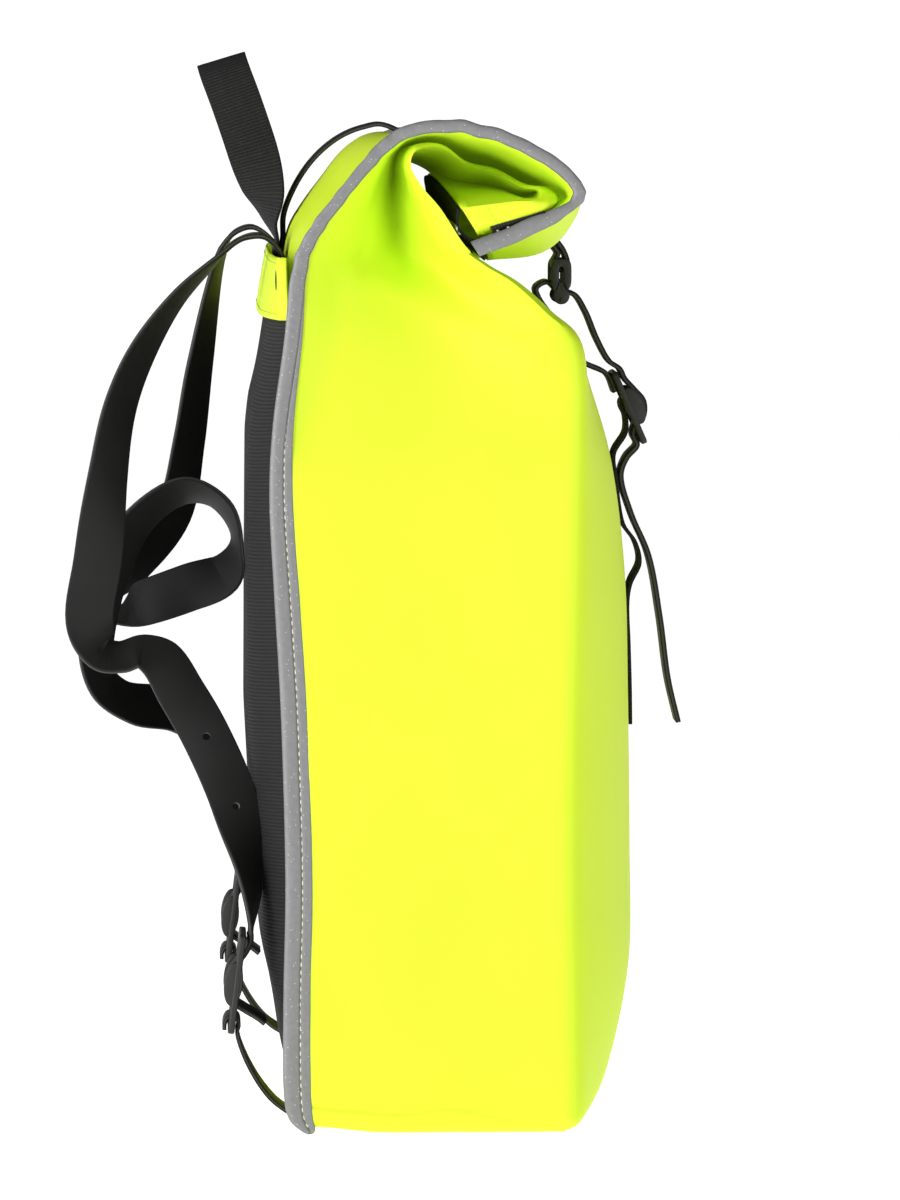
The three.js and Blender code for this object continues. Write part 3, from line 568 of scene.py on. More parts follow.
def makeBody():
    frontPart, frontColumns, sideColumns = pack["frontPart"], pack["frontColumns"], pack["sideColumns"]
    half = frontColumns + sideColumns
    sections = [sectionAt(row) for row in bodyRows]

    def place(column, row):
        step = abs(column - half)
        across = step / frontColumns * frontPart
        if step > frontColumns:
            across = frontPart + (step - frontColumns) / sideColumns * (1 - frontPart)
        return bodyPoint(bodyRows[row], math.copysign(across, column - half), sections[row])

    def atCorner(point):
        x, y, z = point / mm
        return (abs(abs(x) - pack["halfWidth"]) < frontCorner["reach"] and y < frontCorner["backTo"]
                and z < frontCorner["upTo"])

    walls = gridSheet(half * 2, len(bodyRows) - 1, place, *pack["flatSize"])
    corners = [vert for vert in walls.verts if atCorner(vert.co)]
    for step in range(frontCorner["smoothing"]):
        bmesh.ops.smooth_vert(walls, verts=corners, factor=0.5, use_axis_x=True, use_axis_y=True)
    return gather(walls, gridSheet(bagBase["columns"], bagBase["rows"], basePoint, 0.3, 0.12))


packBody = makePiece("packBody", makeBody(), clothFinish, ["body_shell", "roll_lining"], 50)
addWall(packBody, pack["cloth"])
print("body made")


# The back panel runs from the base over the roll and under it
panel = {"columns": 28, "half": pack["halfWidth"] - pack["bindingReach"] - pack["seat"], "slack": 1.03}


def panelPoint(row, share):
    section = sectionAt(row)
    return section["at"](panel["half"] * share, backReach(section, share))


def makePanel():
    def place(column, row):
        return panelPoint(bodyRows[row], 2 * column / panel["columns"] - 1)

    edge = [panelPoint(row, 1) for row in bodyRows]
    length = sum((b - a).length for a, b in zip(edge, edge[1:])) * mm
    return gridSheet(panel["columns"], len(bodyRows) - 1, place, panel["half"] * 2 * mm, length), length


panelSheet, panelLength = makePanel()
backPanel = makePiece("backPanel", panelSheet, clothFinish, ["back_panel"], 50)
addWall(backPanel, pack["cloth"])
panelLine = [panelPoint(row, 0) for row in range(throatRow + 1)]
frontLine = [frontPoint(sectionAt(row), 0) for row in range(9)]
print("back panel made")


# Bound seams: a round bead at the edge, a stitched groove and a flat flange on the side
binding = {"beadStart": -0.22, "bead": 1.95, "flange": 0.95, "groove": 0.55,
           "stitch": (3.6, 2.5, 0.34), "flatUpTo": 6.6, "roundFrom": 9, "roundStart": -0.9,
           "roundGroove": 0.9, "wave": 0.35, "kink": 0.9, "kinkRows": (8, 9.5), "past": 4.5, "tip": 0.33,
           "tipThick": 0.3, "endSwell": 0.3, "endRows": (21.5, 24)}


def bindingOutline(row):  # a stitched flange below, which narrows into one round edge on the roll
    away = clamp((row - binding["flatUpTo"]) / (binding["roundFrom"] - binding["flatUpTo"]))
    start = binding["beadStart"] + (binding["roundStart"] - binding["beadStart"]) * away
    groove = binding["groove"] + (binding["roundGroove"] - binding["groove"]) * away
    middle, radius = (1 + start) / 2, (1 - start) / 2
    bead = [(middle - radius * math.cos(math.pi * k / 8),
             groove + (binding["bead"] - groove) * math.sin(math.pi * k / 8) ** 0.8) for k in range(9)]
    flange = [(-1 + (start + 1) * share, height) for share, height in (
        (0, 0.3), (0.04, 0.8), (0.2, binding["flange"]), (0.64, binding["flange"]), (0.9, 0.85))]
    top = flange + bead
    return top + [(out, -height) for out, height in reversed(top)]


def makeBinding(side):
    rings = []
    for row in bodyRows:
        section = sectionAt(row)
        wave = binding["wave"] * noise.noise(Vector((row * 2.3, side, 0)))
        kink = binding["kink"] * noise.noise(Vector((row * 1.9, side * 4, 5)))
        kink *= ramp(row, *binding["kinkRows"])
        tip = max(0, 1 - row / binding["tip"])
        thick = binding["tipThick"] + (1 - binding["tipThick"]) * math.sqrt(1 - tip * tip)
        thick *= 1 + binding["endSwell"] * ramp(row, *binding["endRows"])
        rings.append([section["at"](side * (pack["halfWidth"] + height * thick) + wave,
                                    section["depth"] + kink + out * section["bound"] * thick)
                      for out, height in bindingOutline(row)])
    past = (sum(rings[-1], Vector()) - sum(rings[-2], Vector())).normalized() * binding["past"]
    rings += [[point + past * share for point in rings[-1]] for share in (0.5, 1)]
    return sweepRings(rings)


stitchSteps = 1200


def stitchRow(path, pitch, long, thick):  # path gives (point, outward) at shares from 0 to 1, in mm
    spots = [path(k / stitchSteps) for k in range(stitchSteps + 1)]
    shape = bmesh.new()
    run, due = 0.0, pitch / 2
    for (a, _), (b, out) in zip(spots, spots[1:]):
        step = (b - a).length
        run += step
        if run < due or step == 0:
            continue
        due += pitch
        along = (b - a) / step
        across = along.cross(out).normalized()
        addBead(shape, b, axesMatrix(along, across, across.cross(along)), (long / 2, thick, thick * 0.8))
    return shape


def bindingStitchPath(side):
    def path(share):
        section = sectionAt(0.25 + share * (binding["flatUpTo"] + 1))
        reach = section["depth"] + (binding["beadStart"] - 0.04) * section["bound"]
        x = side * (pack["halfWidth"] + binding["groove"] + 0.25)
        return section["at"](x, reach), Vector((side, 0, 0))
    return path


for side, sideName in sides:
    makePiece("binding_" + sideName + "_tape", makeBinding(side), tapeFinish,
              ["binding_" + sideName], 60)
    stitches = stitchRow(bindingStitchPath(side), *binding["stitch"])
    makePiece("bindingStitches_" + sideName, stitches, threadFinish)
print("bindings made")


# Padding on the back, and the patch over its upper edge
patch = {"low": 360.5, "high": 388, "columns": 40, "rows": 14, "stitch": (3.2, 2.2, 0.3), "stitchTo": 0.97,
         "inset": 2.6, "slit": (1.7, 4.6, 0.35), "slitY": 73.3, "slitZ": 378, "wing": 5, "wingReach": 3.6}
pad = {"half": 143, "base": 20, "top": 372, "edge": 3, "columns": 44, "seatColumns": 12, "rows": 56,
       "pressure": 4, "quality": 5, "steps": 20, "cap": 3.5, "over": 0.6, "tuck": 1.5, "tuckRun": 8}
padLine = [Vector((0, y, z)) for z, y in (
    (20, 69.5), (40, 75.5), (73, 80), (117, 83.5), (175, 86.5), (248, 86), (303, 85.5), (327, 83),
    (362, 79.3), (372, 77.8), (388, 74.6))]


def padSeat(z):
    return lineAt(panelLine, z) + pack["cloth"] / 2 + pack["seat"]


def padPoint(share, z, lift=0.0):
    seat = padSeat(z)
    swell = lineAt(padLine, z) - seat - pad["edge"]
    return Vector((pad["half"] * share, seat + pad["edge"] + swell * (1 - share ** 4) + lift, z))


def makePad():
    rings = []
    count, seatCount = pad["columns"], pad["seatColumns"]
    for row in range(pad["rows"] + 1):
        z = pad["base"] + (pad["top"] - pad["base"]) * (row / pad["rows"])
        outer = [padPoint(math.sin(math.pi / 2 * (2 * k / count - 1)), z) for k in range(count + 1)]
        inner = [Vector((pad["half"] * (2 * k / seatCount - 1), padSeat(z), z))
                 for k in range(seatCount, -1, -1)]
        rings.append(outer + inner)
    return sweepRings(rings)


def swellPad(piece):  # cloth under pressure rounds the pad, within a cap
    start = [vert.co.copy() for vert in piece.data.vertices]
    cloth = piece.modifiers.new("cloth", "CLOTH")
    cloth.settings.use_pressure = True
    cloth.settings.uniform_pressure_force = pad["pressure"]
    cloth.settings.effector_weights.gravity = 0
    cloth.settings.quality = pad["quality"]
    for step in range(1, pad["steps"] + 1):
        scene.frame_set(step)
    settle(piece)
    scene.frame_set(1)
    tuckFrom = patch["low"] - pad["tuckRun"]
    for vert, place in zip(piece.data.vertices, start):
        moved = vert.co - place
        if moved.length > pad["cap"] * mm:
            vert.co = place + moved.normalized() * pad["cap"] * mm
        vert.co.y = max(vert.co.y, padSeat(vert.co.z / mm) * mm)
        z = clamp(vert.co.z / mm, pad["base"], padLine[-1].z)
        vert.co.y = min(vert.co.y, (lineAt(padLine, z) + pad["over"]) * mm)
        if z > tuckFrom:  # below the patch that covers its upper edge
            share = clamp(vert.co.x / mm / pad["half"], -1, 1)
            vert.co.x = share * (pad["half"] - pad["over"]) * mm
            highest = padPoint(share, z).y + pad["over"] - pad["tuck"] * ramp(z, tuckFrom, patch["low"] - 1)
            vert.co.y = min(vert.co.y, highest * mm)


backPad = makePiece("backPad", makePad(), padFinish, ["back_pad"], 60)
swellPad(backPad)
backPad.data.shade_smooth()
softer = backPad.modifiers.new("softer", "SUBSURF")
softer.levels = softer.render_levels = 1
print("pad made")


# Patch over the strap ends at the top of the back

def patchPoint(share, z, lift=0.0):
    return padPoint(share, z, pack["seat"] + pack["cloth"] / 2 + lift)


def makePatch():  # its ends turn down onto the back panel
    def place(column, row):
        z = patch["low"] + (patch["high"] - patch["low"]) * row / patch["rows"]
        step = column - patch["wing"] - patch["columns"] / 2
        point = patchPoint(clamp(2 * step / patch["columns"], -1, 1), z)
        past = max(abs(step) - patch["columns"] / 2, 0) / patch["wing"]
        point.x += math.copysign(patch["wingReach"] * past ** 1.5, step)
        point.y -= (point.y - padSeat(z) - pack["cloth"] / 2) * (1 - (1 - past) ** 1.5)
        return point
    return gridSheet(patch["columns"] + 2 * patch["wing"], patch["rows"], place, pad["half"] * 2 * mm,
                     (patch["high"] - patch["low"]) * mm)


anchorPatch = makePiece("anchorPatch", makePatch(), clothFinish, ["anchor_patch"], 50)
addWall(anchorPatch, pack["cloth"])


def patchStitchPath(z):
    return lambda share: (patchPoint(patch["stitchTo"] * (2 * share - 1), z, pack["cloth"] / 2 + 0.1),
                          Vector((0, 1, 0)))


patchStitches = [stitchRow(patchStitchPath(z), *patch["stitch"])
                 for z in (patch["low"] + patch["inset"], patch["high"] - patch["inset"])]
makePiece("patchStitches", gather(*patchStitches), clothThreadFinish)


def makeSlitShades():  # a narrow upright dark bead near each end of the patch: painted shade that stands for the open slit
    shape = bmesh.new()
    shares = [1 - k / 400 for k in range(400)]
    share = next(share for share in shares if patchPoint(share, patch["slitZ"]).y >= patch["slitY"])
    for side in (-1, 1):
        here = patchPoint(side * share, patch["slitZ"])
        across = (patchPoint(side * (share - 0.01), patch["slitZ"]) - here).normalized()
        out = across.cross(Vector((0, 0, side)))
        axes = axesMatrix(across, Vector((0, 0, 1)), out)
        addBead(shape, here + out * pack["cloth"] / 2, axes, patch["slit"], 3)
    bmesh.ops.recalc_face_normals(shape, faces=shape.faces)
    return shape


# the slits are dark beads: painted shade
makePiece("patchSlitShades", makeSlitShades(), slitShadeFinish)
print("patch made")


# Flat straps
strap = {"width": 22, "wall": 2.3, "webbingWidth": 23, "webbingWall": 1.6, "lowerWall": 1.8, "steps": 8,
         "edge": 0.7, "webbingEdge": 0.5, "anchorX": 55, "sliderX": 118, "lowerX": 126}


def roundedLoop(width, height, radius, parts):  # a rectangle with round corners
    loop = []
    for corner in range(4):
        x = (width / 2 - radius) * (1 if corner in (0, 3) else -1)
        y = (height / 2 - radius) * (1 if corner < 2 else -1)
        for k in range(parts + 1):
            angle = math.pi / 2 * (corner + k / parts)
            loop.append((x + radius * math.cos(angle), y + radius * math.sin(angle)))
    return loop


def stationWidth(station, along):
    if "wide" in station:
        return Vector(station["wide"])
    level = (toRight - along * along.x).normalized()
    return Quaternion(along, math.radians(station.get("turn", 0))) @ level


def ribbonFrames(stations, steps):  # (middle, along, across, out) down a strap
    points = [Vector((station.get("x", 0), station["y"], station["z"])) for station in stations]
    last = len(points) - 1

    def alongAt(place):
        low, high = max(place - 0.01, 0), min(place + 0.01, last)
        return (smoothAt(points, high, 0.25) - smoothAt(points, low, 0.25)).normalized()

    widths = [stationWidth(station, alongAt(k)) for k, station in enumerate(stations)]
    frames = []
    for k in range(last * steps + 1):
        place = k / steps
        along = alongAt(place)
        across = smoothAt(widths, place)
        across = (across - along * across.dot(along)).normalized()
        frames.append((smoothAt(points, place, 0.25), along, across, along.cross(across)))
    return frames


def makeRibbon(stations, width, wall, edge):
    outline = roundedLoop(width, wall, edge, 3)
    return sweepRings([[middle + across * a + out * b for a, b in outline]
                       for middle, along, across, out in ribbonFrames(stations, strap["steps"])])


def makeStrap(name, stations, node, wall=strap["wall"]):
    ribbon = makeRibbon(stations, strap["width"], wall, strap["edge"])
    return makePiece(name, ribbon, strapFinish, [node])


def makeWebbing(name, stations, node):
    ribbon = makeRibbon(stations, strap["webbingWidth"], strap["webbingWall"], strap["webbingEdge"])
    return makePiece(name, ribbon, webbingFinish, [node])


def tucked(x, z, lift):  # a strap end held on the back panel
    return {"x": x, "y": padSeat(z) + lift, "z": z}


sliders = {
    "strap": {"y": 91.8, "z": 65.2, "lean": 97.2, "length": 45, "width": 31, "wall": 3, "bar": 5,
              "facing": 1, "bulge": 4.2, "bulgeLong": 10, "bulgeOut": 1.6},
    "front": {"y": -90.4, "z": 315.4, "lean": 66.4, "length": 36, "width": 30, "wall": 2.8, "bar": 5,
              "facing": -1, "bulge": 4.4, "bulgeLong": 9, "bulgeOut": 2.4},
}


def onSlider(name, along, off, x=0):
    slider = sliders[name]
    lean = math.radians(slider["lean"])
    upY, upZ = math.cos(lean), math.sin(lean)
    return {"x": x, "y": slider["y"] + along * upY + off * slider["facing"] * upZ,
            "z": slider["z"] + along * upZ - off * slider["facing"] * upY}


# Places (along, off) on a slider that a strap passes through or wraps
sliderWeave = ((22.5, -3.4), (16.5, -3.2), (9.8, 0), (3, 3.3), (-3, 3.3), (-9, 0), (-12, -5.4),
               (-14.2, -10.4), (-16.6, -14.6))
lowerWrap = ((-23, -3.0), (-18.5, -3.1), (-16, -1.9), (-16, 1.9), (-18.5, 3.1), (-21.5, 3.0))


def stationRows(rows):
    return [{"x": x, "y": y, "z": z, "turn": turn} for x, y, z, turn in rows]


def centred(rows):  # stations on the bag's middle line
    return [{"y": y, "z": z} for y, z in rows]


def sliderRows(name, rows, x=0):
    return [onSlider(name, along, off, x) for along, off in rows]


nearStrap = [tucked(-strap["anchorX"], z, strap["wall"] / 2) for z in (375, 381, 387)]
nearStrap += stationRows((
    # x y z turn
    (-57, 79, 395.5, 0), (-58, 89, 394, 0), (-62, 101, 383.6, 6), (-68, 117.4, 367.4, 17),
    (-74, 133.6, 343, 32), (-80, 143.4, 318.7, 40), (-85, 149, 287.5, 52), (-88, 153.4, 251.4, 80),
    (-90, 157.2, 224, 76), (-90, 152.5, 210.5, 44), (-88, 143.5, 207.5, 32), (-88, 134, 210, 36),
    (-90, 125.5, 206.5, 58), (-93, 116, 191.5, 75), (-98, 105, 172.4, 85), (-106, 92.5, 143.3, 75),
    (-113, 85.7, 111.8, 30),
))
nearStrap += sliderRows("strap", sliderWeave, -strap["sliderX"])

farStrap = [tucked(strap["anchorX"], z, strap["wall"] / 2) for z in (375, 381, 387)]
farStrap += stationRows((
    # x y z turn
    (55, 81.6, 397.2, 0), (54, 90.5, 394.8, 0), (53, 96.5, 386, 8), (50, 107, 334, 30), (45, 112.4, 297, 40),
    (35, 119, 266, 50), (18, 135, 243, 40), (0, 149, 231, 15), (-18, 148, 222, 15), (-26, 133, 227, 65),
    (-28, 113, 234, 80), (-30, 96, 241, 50), (-32, 90.5, 255, 10), (-35, 98, 273, 20), (-38, 115, 279, 35),
    (-40, 135, 266, 40), (-42, 149, 240, 50), (-42, 155, 211, 45), (-36, 153, 193, 35), (-22, 141, 181, 40),
    (5, 122, 175, 45), (60, 103, 155, 30), (103, 89.5, 119, 15),
))
farStrap += sliderRows("strap", sliderWeave, strap["sliderX"])

holes = {"places": (17, 18.05), "radius": 1.7, "steps": 20, "deep": 10}


def makeRod(middle, turn, radius, length, segments):
    shape = bmesh.new()
    bmesh.ops.create_cone(shape, cap_ends=True, segments=segments, radius1=radius * mm, radius2=radius * mm,
                          depth=length * mm, matrix=Matrix.Translation(middle * mm) @ turn)
    return shape


def punchHoles(piece, stations):  # round holes through a strap
    frames = ribbonFrames(stations, holes["steps"])
    spots = [frames[round(place * holes["steps"])] for place in holes["places"]]
    rods = [makeRod(middle, axesMatrix(along, across, out), holes["radius"], holes["deep"], 20)
            for middle, along, across, out in spots]
    mesh = meshOf("punch", gather(*rods))
    punch = bpy.data.objects.new("punch", mesh)
    scene.collection.objects.link(punch)
    cut = piece.modifiers.new("holes", "BOOLEAN")
    cut.operation = "DIFFERENCE"
    cut.solver = "EXACT"
    cut.object = punch
    bpy.context.view_layer.update()
    settle(piece)
    bpy.data.objects.remove(punch)
    bpy.data.meshes.remove(mesh)


strapLeft = makeStrap("shoulderStrap_left", nearStrap, "shoulder_strap_left")
punchHoles(strapLeft, nearStrap)
makeStrap("shoulderStrap_right", farStrap, "shoulder_strap_right")


def lowerStations(side):
    rows = [tucked(side * strap["lowerX"], 4, strap["lowerWall"] / 2)]
    rows += stationRows((side * x, y, z, 0) for x, y, z in (
        (strap["lowerX"], 66.5, 6.5), (124, 76, 13), (121, 86, 27)))
    return rows + sliderRows("strap", lowerWrap, side * strap["sliderX"])


for side, sideName in sides:
    makeStrap("lowerStrap_" + sideName, lowerStations(side), "lower_strap_" + sideName, strap["lowerWall"])
print("shoulder straps made")


# Grab handle on two sewn feet, with the direction of its width at each station
handleLift = strap["wall"] + pack["seat"] * 2 + strap["webbingWall"] / 2
handleHalf = [{**tucked(-13, z, handleLift), "wide": (1, 0, 0)} for z in (379, 384, 388, 392)]
handleHalf += [{"x": x, "y": y, "z": z, "wide": wide} for x, y, z, wide in (
    (-14, 75.2, 402, (0.97, 0.24, 0)), (-17, 78, 416, (0.6, 0.77, -0.23)), (-19, 83, 434, (0.1, 0.95, -0.29)),
    (-17, 90, 455, (0, 0.957, -0.29)), (-10, 95.5, 470, (0, 0.957, -0.29)))]
handleTop = {"x": 0, "y": 97, "z": 475, "wide": (0, 0.957, -0.29)}


def mirroredFoot(station):
    wide = station["wide"]
    return {**station, "x": -station["x"], "wide": (-wide[0], wide[1], wide[2])}


handleStations = handleHalf + [handleTop] + [mirroredFoot(station) for station in reversed(handleHalf)]
makeWebbing("topHandle", handleStations, "top_handle")
print("handle made")


# Closing hook: two slotted cheeks joined by a bar at each end
hook = {"y": -58.8, "z": 373.6, "height": 21, "depth": 9.4, "halfSpan": 14.2, "cheek": 3, "bar": 1.7,
        "barInset": 2.2, "slot": 2, "slotLong": 7, "slotRise": 3.2, "upper": 14.5, "lobe": 3.8, "rivet": 0.9,
        "edge": 0.55}
hookBarTop = hook["z"] + hook["height"] / 2 - hook["barInset"]
hookBarLow = hook["z"] - hook["height"] / 2 + hook["barInset"]


def hookOutline():  # a squarish upper part over a round lower end
    half = hook["height"] / 2
    upperMiddle, upperHalf = half - hook["upper"] / 2, hook["upper"] / 2
    levels = [-half * math.cos(math.pi * k / 30) for k in range(31)]
    edge = []
    for z in levels:
        low = max(hook["lobe"] ** 2 - (z + half - hook["lobe"]) ** 2, 0) ** 0.5
        high = max(1 - abs((z - upperMiddle) / upperHalf) ** 4, 0) ** 0.25 * hook["depth"] / 2
        edge.append((max(low, high, 0.05), z))
    return edge + [(-y, z) for y, z in reversed(edge)]


def makeCheek(x):
    face = x - hook["cheek"] / 2
    slot = roundedLoop(hook["slot"], hook["slotLong"], hook["slot"] / 2 - 0.01, 5)
    shape = bmesh.new()
    rims = []
    for loop in (hookOutline(), [(y, z + hook["slotRise"]) for y, z in slot]):
        verts = [shape.verts.new(Vector((face, hook["y"] + y, hook["z"] + z)) * mm) for y, z in loop]
        rims += [shape.edges.new((a, b)) for a, b in zip(verts, verts[1:] + verts[:1])]
    bmesh.ops.bridge_loops(shape, edges=rims)
    thicken(shape, (hook["cheek"], 0, 0))
    roundEdges(shape, sharpEdges(shape), hook["edge"])
    return shape


def makeHook():
    parts = [makeCheek(side * hook["halfSpan"]) for side in (-1, 1)]
    turn = toRight.to_track_quat("Z", "Y").to_matrix().to_4x4()
    for z in (hookBarTop, hookBarLow):
        parts.append(makeRod(Vector((0, hook["y"], z)), turn, hook["bar"], hook["halfSpan"] * 2, 16))
    for side in (-1, 1):
        rivet = bmesh.new()
        face = side * (hook["halfSpan"] + hook["cheek"] / 2)
        bmesh.ops.create_uvsphere(rivet, u_segments=16, v_segments=8, radius=hook["rivet"] * mm,
                                  matrix=Matrix.Translation(Vector((face, hook["y"], hookBarLow)) * mm))
        parts.append(rivet)
    return gather(*parts)


makePiece("closingHook", makeHook(), hardwareFinish, ["closing_hook"], 40)


# Closing strap: arches from the handle's foot to the roll, lies round it and wraps the hook's top bar
def closingStations():
    rows = [tucked(0, z, strap["wall"] / 2) for z in (375, 381, 387, 393)]
    rows += centred((
        (68.6, 404), (64, 416.3), (57, 427.4), (49, 435.6), (40.6, 441.2), (32, 444.4), (23, 445.6)))
    lift = pack["cloth"] / 2 + pack["seat"] + strap["wall"] / 2
    for row in (17, 18, 19, 20, 20.5, 21, 21.5, 22, 22.5):
        along = panelPoint(row + 0.25, 0) - panelPoint(row - 0.25, 0)
        place = panelPoint(row, 0) + along.cross(toRight).normalized() * lift
        rows += centred([(place.y, place.z)])
    rows += centred(((-55, 395.5), (-60.2, 387.6)))
    wrap = hook["bar"] + pack["seat"] + strap["wall"] / 2
    turns = [math.radians(angle) for angle in (180, 225, 270, 315, 360)]
    rows += centred((hook["y"] + wrap * math.cos(turn), hookBarTop + wrap * math.sin(turn)) for turn in turns)
    return rows + centred(((-57.5, 386.3), (-55.1, 389.9), (-52.3, 394.3)))


makeStrap("closingStrap", closingStations(), "closing_strap")
print("closing strap and hook made")


# Front strap: from the slider up to the hook, back down round the slider and on to its free end
frontStations = sliderRows("front", ((9, -3), (18, -3.1)))
frontStations += centred((
    (-69.2, 336.5), (-62.6, 346), (-54.8, 357.5), (-48.8, 366), (-47.6, 370.4), (-52.5, 373.2),
    (hook["y"], hookBarLow + hook["bar"] + pack["seat"] * 1.2 + strap["wall"] / 2),
    (-65, 367.6), (-70.2, 360), (-75.6, 347.1), (-81.6, 336.5)))
frontStations += sliderRows("front", (
    (18, 3.3), (13, 3.6), (7, 5.6), (0, 7.5), (-6.5, 4.6), (-8.6, 0), (-12.6, -3.1), (-17.5, -3.3)))
frontStations += centred((
    (-89.5, 292), (-86.9, 284), (-91.8, 266), (-99.8, 247), (-105.2, 218), (-109, 189.6), (-113.7, 169.5)))
makeStrap("frontStrap", frontStations, "front_strap")


def sewn(z):  # webbing sewn flat on the front
    return {"y": lineAt(frontLine, z) - pack["cloth"] / 2 - pack["seat"] - strap["webbingWall"] / 2, "z": z}


webbingStations = [sewn(z) for z in (168.7, 186, 205, 226)]
webbingStations += centred(((-91.4, 234), (-95.6, 243.5), (-93.6, 253), (-88.2, 261)))
webbingStations += [sewn(270), sewn(282)] + centred([(-83.6, 294)])
webbingStations += sliderRows("front", (
    (-10, -5.8), (-3, -2.9), (1.5, -2.9), (3.9, -1.7), (3.9, 1.7), (1.5, 2.9), (-2, 2.8)))
makeWebbing("frontWebbing", webbingStations, "front_webbing")


# Sliders: a plate with two windows, and rails that bulge over the woven strap
sliderForm = {"side": 0.65, "rail": 0.6, "railIn": 0.2, "corner": 2.2, "edge": 0.8, "railEdge": 0.6}


def makeRail(slider, side):
    wide = sliderForm["rail"] * slider["bar"]
    x = side * (slider["width"] / 2 - sliderForm["railIn"]) - wide / 2 * (1 + side)
    shape = bmesh.new()
    bmesh.ops.create_circle(shape, cap_ends=True, segments=40, radius=1)
    for vert in shape.verts:
        off = vert.co.y * slider["bulge"] - slider["facing"] * slider["bulgeOut"]
        vert.co = Vector((x, vert.co.x * slider["bulgeLong"], off)) * mm
    thicken(shape, (wide, 0, 0))
    roundEdges(shape, sharpEdges(shape), sliderForm["railEdge"])
    return shape


def makeSlider(name, x):
    slider = sliders[name]
    bar, halfWidth, halfLength = slider["bar"], slider["width"] / 2, slider["length"] / 2
    inner = halfWidth - sliderForm["side"] * bar
    columns = (-halfWidth, -inner, inner, halfWidth)
    rows = (-halfLength, bar - halfLength, -bar / 2, bar / 2, halfLength - bar, halfLength)
    windowMiddle = (halfLength - bar / 2) / 2

    def isWindow(face):
        middle = face.calc_center_median() / mm
        return abs(middle.x) < 0.01 and abs(abs(middle.y) - windowMiddle) < 1

    shape = gridSheet(3, 5, lambda column, row: Vector((columns[column], rows[row], -slider["wall"] / 2)))
    bmesh.ops.delete(shape, geom=[face for face in shape.faces if isWindow(face)], context="FACES")
    thicken(shape, (0, 0, slider["wall"]))
    corners = [edge for edge in sharpEdges(shape) if abs(edge.verts[0].co.z - edge.verts[1].co.z) > 1e-5]
    roundEdges(shape, corners, sliderForm["corner"], 4)
    roundEdges(shape, sharpEdges(shape), sliderForm["edge"])
    shape = gather(shape, *[makeRail(slider, side) for side in (-1, 1)])
    lean = Matrix.Rotation(math.radians(slider["lean"]), 4, "X")
    bmesh.ops.transform(shape, matrix=Matrix.Translation(Vector((x, slider["y"], slider["z"])) * mm) @ lean,
                        verts=shape.verts)
    return shape


makePiece("frontBuckle", makeSlider("front", 0), hardwareFinish, ["front_buckle"], 50)
for side, sideName in sides:
    makePiece("strapBuckle_" + sideName, makeSlider("strap", side * strap["sliderX"]), hardwareFinish,
              ["strap_buckle_" + sideName], 50)
print("front strap and buckles made")


# Hem stitches at the ends of the mouth
hem = {"row": 24.55, "from": 0.04, "run": 0.68, "lift": 0.05, "stitch": (2.9, 2, 0.22)}


def gussetSpot(row, share, side, lift):  # a place on the gusset raised off it, and the way out from it
    section = sectionAt(row)
    middle = sidePoint(section, share, side)
    across = sidePoint(section, share + 0.01, side) - sidePoint(section, share - 0.01, side)
    along = sidePoint(sectionAt(row - 0.05), share, side) - middle
    out = across.cross(along).normalized()
    out = out if out.x * side > 0 else -out
    return middle + out * lift, out


def hemPath(side):
    lift = pack["cloth"] / 2 + hem["lift"]
    return lambda share: gussetSpot(hem["row"], hem["from"] + hem["run"] * share, side, lift)


hemStitches = [stitchRow(hemPath(side), *hem["stitch"]) for side in (-1, 1)]
makePiece("hemStitches", gather(*hemStitches), clothThreadFinish)
print("hem made")


# Zip in the mouth: a tape bowed between the two hems, with two rows of teeth
zipper = {"half": 146, "wall": 1.2, "bow": 5, "rise": 0.7, "columns": 40, "rows": 12, "pitch": 2.6,
          "tooth": (0.9, 1.6, 0.8), "toothRows": ((0.44, 0.25), (0.56, 0.75))}


def zipPlace(share, x, lift=0.0):
    section, before = sectionAt(lastRow), sectionAt(lastRow - 0.2)
    out = (section["at"](0, section["depth"] / 2) - before["at"](0, before["depth"] / 2)).normalized()
    bow = zipper["bow"] * math.sin(math.pi * share) + pack["seat"] + zipper["rise"] + lift
    front, back = frontReach(section, x / zipper["half"]), backReach(section, x / zipper["half"])
    return section["at"](x, front + (back - front) * share) + out * bow, out


def makeTape():
    def place(column, row):
        return zipPlace(row / zipper["rows"], zipper["half"] * (2 * column / zipper["columns"] - 1))[0]
    return gridSheet(zipper["columns"], zipper["rows"], place, zipper["half"] * 2 * mm, 0.02)


zipTape = makePiece("zipTape", makeTape(), zipTapeFinish, ["mouth_zip"], 60)
addWall(zipTape, zipper["wall"])


def makeTeeth():
    shape = bmesh.new()
    for k in range(int(zipper["half"] * 2 / zipper["pitch"])):
        for share, shift in zipper["toothRows"]:
            x = -zipper["half"] + (k + shift) * zipper["pitch"]
            place, out = zipPlace(share, x, zipper["wall"] / 2)
            addBead(shape, place, axesMatrix(toRight, out.cross(toRight), out), zipper["tooth"])
    return shape


makePiece("zipTeeth", makeTeeth(), toothFinish)
zipEnd = {"from": 24.7, "to": 23.2, "low": 0.6, "high": 0.8, "lift": 1.3, "wall": 0.6, "columns": 4,
          "rows": 12, "teeth": 7, "tooth": (0.75, 0.75, 0.75), "toothLift": 0.5}


def zipEndSpot(side, along, across, lift=0.0):
    row = zipEnd["from"] + (zipEnd["to"] - zipEnd["from"]) * along
    share = zipEnd["low"] + (zipEnd["high"] - zipEnd["low"]) * across
    return gussetSpot(row, share, side, zipEnd["lift"] + lift)[0]


def makeZipEnd(side):  # the tape's end turns along the gusset
    columns, rows = zipEnd["columns"], zipEnd["rows"]

    def place(column, row):
        return zipEndSpot(side, row / rows, column / columns)
    return gridSheet(columns, rows, place, 0.004, 0.02)


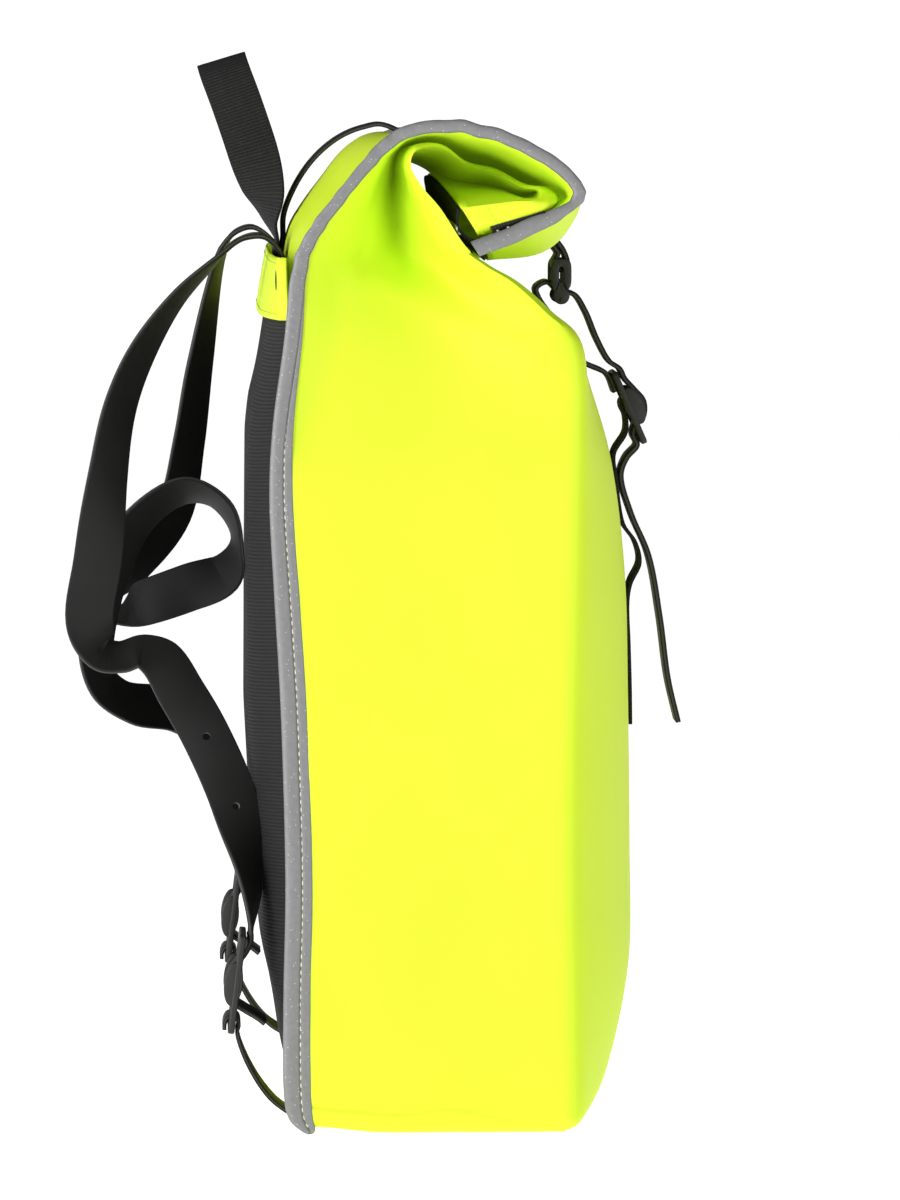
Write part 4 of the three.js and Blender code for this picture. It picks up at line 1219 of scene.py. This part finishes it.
def makeEndTeeth():
    shape = bmesh.new()
    for side in (-1, 1):
        for k in range(zipEnd["teeth"]):
            place = zipEndSpot(side, (k + 0.5) / zipEnd["teeth"], 0.5, zipEnd["toothLift"])
            addBead(shape, place, Matrix(), zipEnd["tooth"], 2)
    return shape


zipEndTapes = makePiece("zipEndTapes", gather(makeZipEnd(-1), makeZipEnd(1)), zipTapeFinish, (), 60)
addWall(zipEndTapes, zipEnd["wall"])
makePiece("zipEndTeeth", makeEndTeeth(), toothFinish)
print("zip made")


# Floor and soft studio light
stage = {"floor": 12, "floorGlow": 0.95, "backdrop": 1.06, "horizon": 0.58, "overhead": 0.03,
         "fade": (0.05, 0.42)}
lights = (
    # name energy size place target colour
    ("keyLight", 66, 1.2, (-2, 1.9, 0.3), (0, 0, 0.22), (1, 1, 1)),
    ("otherKeyLight", 22, 1.2, (-2.2, -1.6, 0.3), (0, 0, 0.22), (1, 1, 1)),
    ("rimLight", 22, 1.4, (-0.9, 2.3, 1.5), (0, 0, 0.3), (1, 1, 1)),
    ("fillLight", 2, 1.8, (-0.6, -2.6, 0.9), (0, 0, 0.25), (1, 0.88, 0.82)),
)


def makeFloor():
    shape = bmesh.new()
    bmesh.ops.create_grid(shape, x_segments=1, y_segments=1, size=stage["floor"] / 2)
    mesh = meshOf("floor", shape)
    material, tree, shader, places = newFinish("paleFloor")
    setSockets(shader, Base_Color=grey(0.92), Roughness=0.9, Emission_Color=grey(1),
               Emission_Strength=stage["floorGlow"])
    mesh.materials.append(material)
    floor = bpy.data.objects.new("floor", mesh)
    scene.collection.objects.link(floor)


def addLight(name, energy, size, place, target, colour):
    data = bpy.data.lights.new(name, "AREA")
    data.energy = energy
    data.size = size
    data.color = colour
    light = bpy.data.objects.new(name, data)
    light.location = place
    light.rotation_euler = (Vector(target) - Vector(place)).to_track_quat("-Z", "Y").to_euler()
    scene.collection.objects.link(light)


def setWorld():  # a white backdrop for the camera, and soft light from all round that fades overhead
    world = bpy.data.worlds.new("studio")
    world.use_nodes = True
    tree = world.node_tree
    around = tree.nodes["Background"]
    direction = tree.nodes.new("ShaderNodeTexCoord")
    height = tree.nodes.new("ShaderNodeSeparateXYZ")
    fade = tree.nodes.new("ShaderNodeMapRange")
    setSockets(fade, From_Min=stage["fade"][0], From_Max=stage["fade"][1], To_Min=stage["horizon"],
               To_Max=stage["overhead"])
    tree.links.new(direction.outputs["Generated"], height.inputs[0])
    tree.links.new(height.outputs["Z"], fade.inputs["Value"])
    tree.links.new(fade.outputs["Result"], around.inputs["Strength"])
    backdrop = tree.nodes.new("ShaderNodeBackground")
    setSockets(around, Color=grey(1))
    setSockets(backdrop, Color=grey(1), Strength=stage["backdrop"])
    path = tree.nodes.new("ShaderNodeLightPath")
    blend = tree.nodes.new("ShaderNodeMixShader")
    tree.links.new(path.outputs["Is Camera Ray"], blend.inputs[0])
    tree.links.new(around.outputs[0], blend.inputs[1])
    tree.links.new(backdrop.outputs[0], blend.inputs[2])
    tree.links.new(blend.outputs[0], tree.nodes["World Output"].inputs["Surface"])
    scene.world = world


makeFloor()
for light in lights:
    addLight(*light)
setWorld()
scene.view_settings.view_transform = "Standard"


print("scene ready")
